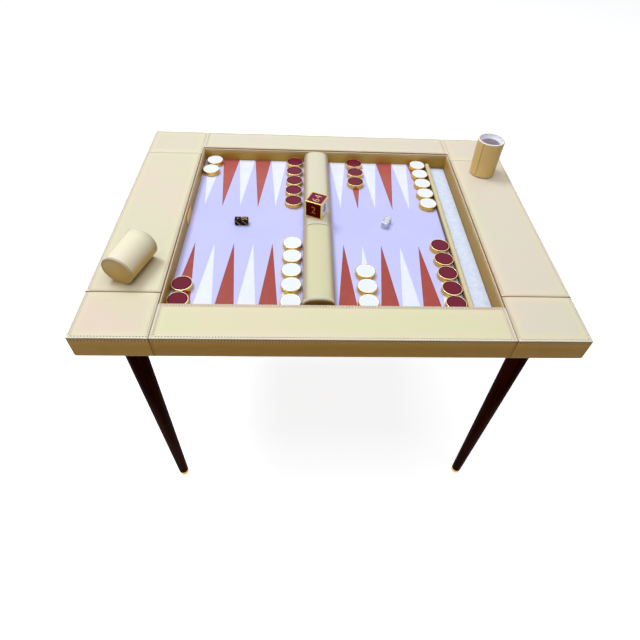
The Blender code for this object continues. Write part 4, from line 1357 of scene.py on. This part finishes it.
cube_low, cube_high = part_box("doubling_cube")
cube_middle = (cube_low + cube_high) / 2
cube = rounded_cube("doubling_cube_frame", CUBE_SIZE, CUBE_EDGE, CUBE_EDGE_STEPS, frame_gilt,
                    *cube_enamels.values())
with reshaped(cube.data) as shape:
    for _, outward, _, colour in CUBE_FACES:
        out_axis = Vector(outward)
        face = max(shape.faces, key=lambda item: item.normal.dot(out_axis) * item.calc_area())
        bmesh.ops.inset_region(shape, faces=[face], thickness=CUBE_FRAME - CUBE_EDGE)
        bmesh.ops.inset_region(shape, faces=[face], thickness=CUBE_SINK_SLOPE, depth=-CUBE_SINK)
        face.material_index = 1 + list(cube_enamels).index(colour)
smooth(cube, FINE_ANGLE)
cube.location = cube_middle
cube.rotation_euler = (0, 0, CUBE_TURN)
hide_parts("doubling_cube")
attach(cube, "doubling_cube")

for text, outward, upward, colour in CUBE_FACES:
    out_axis, up_axis = Vector(outward), Vector(upward)
    right_axis = up_axis.cross(out_axis)
    letters = bpy.data.curves.new("number", "FONT")
    letters.body = text
    letters.size = NUMBER_SIZE
    letters.extrude = (CUBE_SINK + NUMBER_PROUD) / 4
    letters.bevel_depth = NUMBER_BEVEL
    letters.align_x = "CENTER"
    letters.space_character = NUMBER_SPACING
    letters.offset = -NUMBER_THINNING[colour]
    written = link_piece("written_number", letters)
    mesh = finished_mesh(written)
    bpy.data.objects.remove(written, do_unlink=True)
    places = np.array([vertex.co for vertex in mesh.vertices])
    middle = Vector((places.min(0) + places.max(0)) / 2)
    wide = places[:, 0].max() - places[:, 0].min()
    narrowing = min(1.0, NUMBER_WIDEST * CUBE_SIZE / wide)
    turn = Matrix((right_axis, up_axis, out_axis)).transposed().to_4x4()
    sink = Matrix.Translation(out_axis * (CUBE_SIZE / 2 - CUBE_SINK + NUMBER_PROUD / 2))
    mesh.transform(sink @ turn @ Matrix.Diagonal((narrowing, narrowing, 1, 1)) @ Matrix.Translation(-middle))
    mesh.materials.clear()
    number_finish = number_ink if colour == "white" else number_gilt
    number = link_piece(f"doubling_cube_number_{text}", mesh, number_finish)
    smooth(number, FINE_ANGLE)
    number.location = cube_middle
    number.rotation_euler = (0, 0, CUBE_TURN)
    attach(number, "doubling_cube")


# Each dice cup is a stiff tube under ivory leather, closed by one seam up its side and stitched round the
# base. Inside it is lined in lilac, with a white ring below the rim that trips the dice as they roll out.

CUP_HEIGHT = 0.097
CUP_BASE_RADIUS = 0.033
CUP_RIM_RADIUS = 0.0353
CUP_WALL = 0.0030
CUP_RIM = 0.0048
CUP_FLOOR = 0.004
CUP_EDGE = 0.0011
CUP_LIP_DEPTH = 0.008
CUP_LIP_HEIGHT = 0.005
CUP_LIP_WIDTH = 0.0080
CUP_BAND_LEAN = 0.0050
CUP_BAND_TOP = 0.0012
CUP_RIM_DROP = 0.0038
CUP_MOUTH_SHADE = 0.0026
CUP_STEPS = 128
BASE_ROW = 0.0030
BASE_ROW_DEPTH = 0.00035
BASE_ROW_WIDTH = 0.0007
BASE_BORDER = 0.0022
BASE_THICKNESS = 0.0006
SEAM_HALF = 0.0012
SEAM_RIDGE = 0.00055
SEAM_SPREAD = 0.0009
SEAM_SUNK = 0.00012
SEAM_START = 0.0045
SEAM_END = 0.0020
SEAM_ROW_INSET = 0.003
SEAM_ROW_SUNK = 0.0001
SEAM_TAPER = 0.35
SEAM_SIDES = 8
SEAM_STEPS = 12
CUP_PITCH = 0.0040
LYING_BASE = (-0.4348, -0.2529)
LYING_TURN = radians(72.4)
LYING_STEEPEST = -0.15
LYING_FLATTEST = 0.50
# Where a cup's seam runs, then its painted shade: where the side is darkest (away from the light on the
# standing cup, on the side it lies on for the lying cup), how dark, how far round that reaches, and how dark
# the painted shadow under its mouth's edge is
CUP_SHADING = {"dice_cup_standing": (radians(-137), radians(-14), 0.34, radians(75), 0.0),
            "dice_cup_lying": (radians(150), 0.0, 0.95, radians(84), 0.6)}
# Each cup's upright colour is painted shade, as on the table's leather
standing_flat = (0.78, 0.73, 0.55, 1)
standing_upright_shade = (0.78, 0.60, 0.235, 1)
lying_flat = (0.905, 0.85, 0.65, 1)
lying_upright_shade = (0.68, 0.48, 0.145, 1)
rim_cream = (0.97, 0.95, 0.86, 1)
rim_upright_shade = (0.80, 0.68, 0.44, 1)
lining_colour = (0.90, 0.93, 1.0, 1)
lining_shadow = (0.82, 0.85, 0.99, 1)
inner_colour = (0.98, 0.93, 0.97, 1)
inner_shadow = (0.86, 0.81, 0.88, 1)
lip_white = (0.97, 0.97, 1.0, 1)
lip_grey = (0.84, 0.84, 0.92, 1)
seam_thread_colour = (0.52, 0.36, 0.15, 1)
seam_thread_shadow = (0.30, 0.19, 0.07, 1)

cup_leathers = {
    "dice_cup_standing": leather("standing_cup_leather", standing_flat, standing_upright_shade, standing_flat),
    "dice_cup_lying": leather("lying_cup_leather", lying_flat, lying_upright_shade, lying_flat, roughness=0.40,
                              steepest=LYING_STEEPEST, flattest=LYING_FLATTEST)}
rim_leather = leather("cup_rim_leather", rim_cream, rim_upright_shade, rim_cream)


def suede(name, shadow, colour):
    """Soft lining with a short nap."""
    material, tree, shader = new_material(name, 0.7)
    nap = noise(tree, add_node(tree, "TexCoord")["Object"], 500.0, 4.0, 0.7)
    feed(tree, shader, {"Base Color": mix_colours(tree, nap, shadow, colour), "Sheen Weight": 0.2,
                        "Normal": bump(tree, nap, 0.0002, 0.6)})
    return material


cup_lining = suede("cup_lining", lining_shadow, lining_colour)
cup_inside = suede("cup_inside", inner_shadow, inner_colour)
cup_lip = uneven_material("cup_lip", 0.35, 90.0, lip_white, lip_grey)
seam_thread = thread_material("seam_thread", seam_thread_colour, seam_thread_shadow)


def cup_radius(height):
    """How wide a cup is at a height: it widens evenly to its rim."""
    return CUP_BASE_RADIUS + (CUP_RIM_RADIUS - CUP_BASE_RADIUS) * height / CUP_HEIGHT


def around(turn):
    """The directions outward and along, at a turn round a cup."""
    return Vector((cos(turn), sin(turn), 0)), Vector((-sin(turn), cos(turn), 0))


def dress_cup(name, shade_turn, shade_dark, shade_reach, mouth_dark):
    """A cup standing about its own axis: lining, lip, rim, side and base, each with its own finish."""
    lip_top = CUP_HEIGHT - CUP_LIP_DEPTH
    lip_bottom = lip_top - CUP_LIP_HEIGHT
    lip_middle = (cup_radius(lip_bottom) - CUP_WALL - CUP_LIP_WIDTH + CUP_LIP_HEIGHT / 2,
                  (lip_top + lip_bottom) / 2)
    outline = [(0, CUP_FLOOR, 4), (cup_radius(CUP_FLOOR) - CUP_WALL, CUP_FLOOR, 4),
               (cup_radius(lip_bottom) - CUP_WALL, lip_bottom, 4)]
    outline += [(*point, 2) for point in round_off(lip_middle, CUP_LIP_HEIGHT / 2, 250, 110, 10)]
    outline += [(cup_radius(lip_top) - CUP_RIM - CUP_BAND_LEAN, lip_top, 2),
                (CUP_RIM_RADIUS - CUP_RIM, CUP_HEIGHT - CUP_BAND_TOP, 1)]
    for radius, start, end in ((CUP_RIM_RADIUS - CUP_RIM + CUP_EDGE, 180, 90),
                               (CUP_RIM_RADIUS - CUP_EDGE, 90, 0)):
        arc = round_off((radius, CUP_HEIGHT - CUP_EDGE), CUP_EDGE, start, end, 4)
        outline += [(*point, 3) for point in arc]
    outline += [(cup_radius(CUP_HEIGHT - CUP_RIM_DROP), CUP_HEIGHT - CUP_RIM_DROP, 3)]
    heights = [CUP_HEIGHT - step for step in (0.0045, 0.02, 0.04, 0.06, 0.08)]
    heights += [BASE_ROW + line for line in (0.004, 0.0012, 0.0006, 0, -0.0006, -0.0012)]
    outline += [(cup_radius(height) - BASE_ROW_DEPTH * dip(height, BASE_ROW, BASE_ROW_WIDTH), height, 0)
                for height in heights]
    base_edge = (CUP_BASE_RADIUS - CUP_EDGE, CUP_EDGE)
    outline += [(*point, 0) for point in round_off(base_edge, CUP_EDGE, 0, -90, 4)]
    border = CUP_BASE_RADIUS - CUP_EDGE - BASE_BORDER
    outline += [(border, 0, 0), (border - 0.0004, 0.0005, 0), (border - 0.0010, 0.0003, 0), (0, 0.0002, 0)]
    body = turned(name + "_leather", outline, CUP_STEPS, cup_leathers[name], cup_lining, cup_lip, rim_leather,
                  cup_inside)
    # The side takes painted shade in the base row's groove, along its foot, under the mouth's edge and on its
    # shaded side; the base takes it in the groove by its border
    shades = []
    for vertex in body.data.vertices:
        x, y, height = vertex.co
        radius = Vector((x, y)).length
        shade = 0.0
        if height > BASE_THICKNESS and radius > CUP_BASE_RADIUS - 0.001:
            away = abs((atan2(y, x) - shade_turn + pi) % (2 * pi) - pi)
            shade = max(0.30 * dip(height, BASE_ROW, 0.0008), 0.95 * dip(height, 0, 0.0014),
                        mouth_dark * dip(height, CUP_HEIGHT - CUP_MOUTH_SHADE, 0.0016),
                        shade_dark * ease(1 - away / shade_reach))
        elif height < BASE_THICKNESS:
            shade = 0.6 * dip(radius, border - 0.0004, 0.0006)
        shades.append(shade)
    paint(body.data, seam_shade=shades)
    return body


def cup_rows(seam_turn):
    """The stitches round a cup's base, and those up its side seam."""
    stitches = []
    count = round(2 * pi * CUP_BASE_RADIUS / CUP_PITCH)
    for index in range(count):
        outward, along = around(2 * pi * index / count)
        place = outward * (cup_radius(BASE_ROW) - BASE_ROW_DEPTH) + Vector((0, 0, BASE_ROW))
        stitches.append((place, along, outward))
    outward = around(seam_turn)[0]
    foot, head = (outward * cup_radius(height) + Vector((0, 0, height))
                  for height in (BASE_ROW + SEAM_ROW_INSET, CUP_HEIGHT - SEAM_ROW_INSET))
    return stitches, [(place - outward * SEAM_ROW_SUNK, along, outward)
                      for place, along in row_of(foot, head, CUP_PITCH)]


def seam_ridges(name, seam_turn, finish):
    """The two rolled edges of leather that meet at a cup's side seam."""
    verts, faces = [], []
    outward, across = around(seam_turn)
    length = CUP_HEIGHT - SEAM_START - SEAM_END
    for offset in (-SEAM_HALF, SEAM_HALF):
        first = len(verts)
        for step in range(SEAM_STEPS + 1):
            height = SEAM_START + length * step / SEAM_STEPS
            taper = SEAM_TAPER if step in (0, SEAM_STEPS) else 1.0
            middle = outward * (cup_radius(height) - SEAM_SUNK) + across * offset + Vector((0, 0, height))
            for side in range(SEAM_SIDES):
                turn = 2 * pi * side / SEAM_SIDES
                verts.append(middle + across * (SEAM_SPREAD * taper * cos(turn))
                             + outward * (SEAM_RIDGE * taper * sin(turn)))
        for near in range(first, len(verts) - SEAM_SIDES, SEAM_SIDES):
            faces += join_rings(near, near + SEAM_SIDES, SEAM_SIDES)
    return build_piece(name, verts, faces, [finish])


rise = atan2(CUP_RIM_RADIUS - CUP_BASE_RADIUS, CUP_HEIGHT)
lean = Matrix.Rotation(LYING_TURN, 4, "Z") @ Matrix.Rotation(pi / 2 - rise, 4, "Y")
standing_low, standing_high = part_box("dice_cup_standing")
standing_middle = (standing_low + standing_high) / 2
lying_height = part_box("dice_cup_lying")[0].z + CUP_BASE_RADIUS * cos(rise)
cup_places = {
    "dice_cup_standing": Matrix.Translation((standing_middle.x, standing_middle.y, standing_low.z)),
    "dice_cup_lying": Matrix.Translation((*LYING_BASE, lying_height)) @ lean}
for name, (seam_turn, *shading) in CUP_SHADING.items():
    body = dress_cup(name, *shading)
    ridges = seam_ridges(name + "_seam", seam_turn, cup_leathers[name])
    place = cup_places[name]
    turn = place.to_3x3()
    body.data.transform(place)
    ridges.data.transform(place)
    stitches, seam_stitches = (
        [(place @ middle, turn @ along, turn @ outward) for middle, along, outward in row]
        for row in cup_rows(seam_turn))
    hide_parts(name)
    for piece in (body, ridges):
        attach(piece, name)
    sew(name + "_stitching", stitches, CUP_PITCH, name)
    sew(name + "_seam_stitching", seam_stitches, CUP_PITCH, name, thread=seam_thread)


# The studio: a plain white floor that keeps the table's soft shadow, a broad soft lamp overhead, a smaller
# one high at the back left that draws the shadows, a weak one at the front left, and warm light from all
# round that is a little stronger on the left.

FLOOR_REACH = 7.0
FLOOR_ALBEDO = (0.62, 0.58, 0.52, 1)
FLOOR_GLOW = 0.775
FLOOR_GLOW_COLOUR = (0.883, 0.929, 1.0, 1)
PLAIN_WHITE = (1, 1, 1, 1)
AROUND_LEVEL = 0.23
AROUND_TILT = 0.25
AROUND_COLOUR = (1.0, 0.86, 0.62, 1)
LAMP_COLOUR = (1.0, 1.055, 1.17)
# Each lamp's place, size, power and the place that it points at
LAMPS = {"overhead_lamp": ((0, 0.1, 3.0), 2.6, 35.6, (0, 0.1, 0)),
         "key_lamp": ((-1.7, 1.1, 4.6), 1.3, 62.0, (0, 0, 0.76)),
         "fill_lamp": ((-2.2, -2.8, 2.0), 1.6, 6.5, (0, 0, 0.7))}


def seen_directly(tree):
    """1 where the camera or a mirror image sees a surface itself, and 0 where only its light arrives."""
    path = add_node(tree, "LightPath")
    return work_out(tree, "MAXIMUM", path["Is Camera Ray"], path["Is Glossy Ray"])


mesh = bpy.data.meshes.new("studio_floor")
mesh.from_pydata([(-FLOOR_REACH, -FLOOR_REACH, 0), (FLOOR_REACH, -FLOOR_REACH, 0),
                  (FLOOR_REACH, FLOOR_REACH, 0), (-FLOOR_REACH, FLOOR_REACH, 0)], [], [(0, 1, 2, 3)])
studio_floor_finish, tree, shader = new_material("studio_floor", 0.9)
seen = seen_directly(tree)
feed(tree, shader, {"Base Color": mix_colours(tree, seen, FLOOR_ALBEDO, PLAIN_WHITE),
                    "Specular IOR Level": 0.0, "Emission Color": FLOOR_GLOW_COLOUR,
                    "Emission Strength": times(tree, seen, FLOOR_GLOW)})
floor = link_piece("studio_floor", mesh, studio_floor_finish)

world = bpy.data.worlds.new("studio")
bpy.context.scene.world = world
world.use_nodes = True
tree = world.node_tree
seen = seen_directly(tree)
rightward = add_node(tree, "SeparateXYZ", {0: add_node(tree, "TexCoord")["Generated"]})["X"]
level = spread(tree, rightward, -1.0, 1.0, AROUND_LEVEL * (1 + AROUND_TILT), AROUND_LEVEL * (1 - AROUND_TILT))
missing = work_out(tree, "SUBTRACT", 1.0, level)
feed(tree, tree.nodes["Background"], {"Color": mix_colours(tree, seen, AROUND_COLOUR, PLAIN_WHITE),
                                      "Strength": work_out(tree, "MULTIPLY_ADD", seen, missing, level)})

for name, (place, size, power, target) in LAMPS.items():
    lamp_data = bpy.data.lights.new(name, "AREA")
    lamp_data.shape = "SQUARE"
    lamp_data.size = size
    lamp_data.energy = power
    lamp_data.color = LAMP_COLOUR
    lamp = link_piece(name, lamp_data)
    lamp.location = place
    lamp.rotation_euler = (Vector(target) - Vector(place)).to_track_quat("-Z", "Y").to_euler()

CAMERA_PLACE = Vector((-0.0632, -0.9685, 1.4501))
CAMERA_PITCH = radians(48.033)
CAMERA_YAW = radians(4.449)
CAMERA_ROLL = radians(3.848)
FOCAL_PIXELS = 476.96
FRAME_PIXELS = 640
SENSOR_WIDTH = 36.0
MIDDLE_PIXEL = (328.22, 321.20)

forward = Vector((sin(CAMERA_YAW) * cos(CAMERA_PITCH), cos(CAMERA_YAW) * cos(CAMERA_PITCH),
                  -sin(CAMERA_PITCH)))
level_right = Vector((cos(CAMERA_YAW), -sin(CAMERA_YAW), 0))
level_up = level_right.cross(forward)
right = level_right * cos(CAMERA_ROLL) + level_up * sin(CAMERA_ROLL)
up = level_up * cos(CAMERA_ROLL) - level_right * sin(CAMERA_ROLL)
camera_data = bpy.data.cameras.new("camera")
camera_data.sensor_width = SENSOR_WIDTH
camera_data.lens = FOCAL_PIXELS / FRAME_PIXELS * SENSOR_WIDTH
camera_data.shift_x = (FRAME_PIXELS / 2 - MIDDLE_PIXEL[0]) / FRAME_PIXELS
camera_data.shift_y = (MIDDLE_PIXEL[1] - FRAME_PIXELS / 2) / FRAME_PIXELS
camera = link_piece("camera", camera_data)
camera.matrix_world = Matrix.Translation(CAMERA_PLACE) @ Matrix((right, up, -forward)).transposed().to_4x4()
bpy.context.scene.camera = camera
bpy.context.scene.view_settings.view_transform = "Standard"
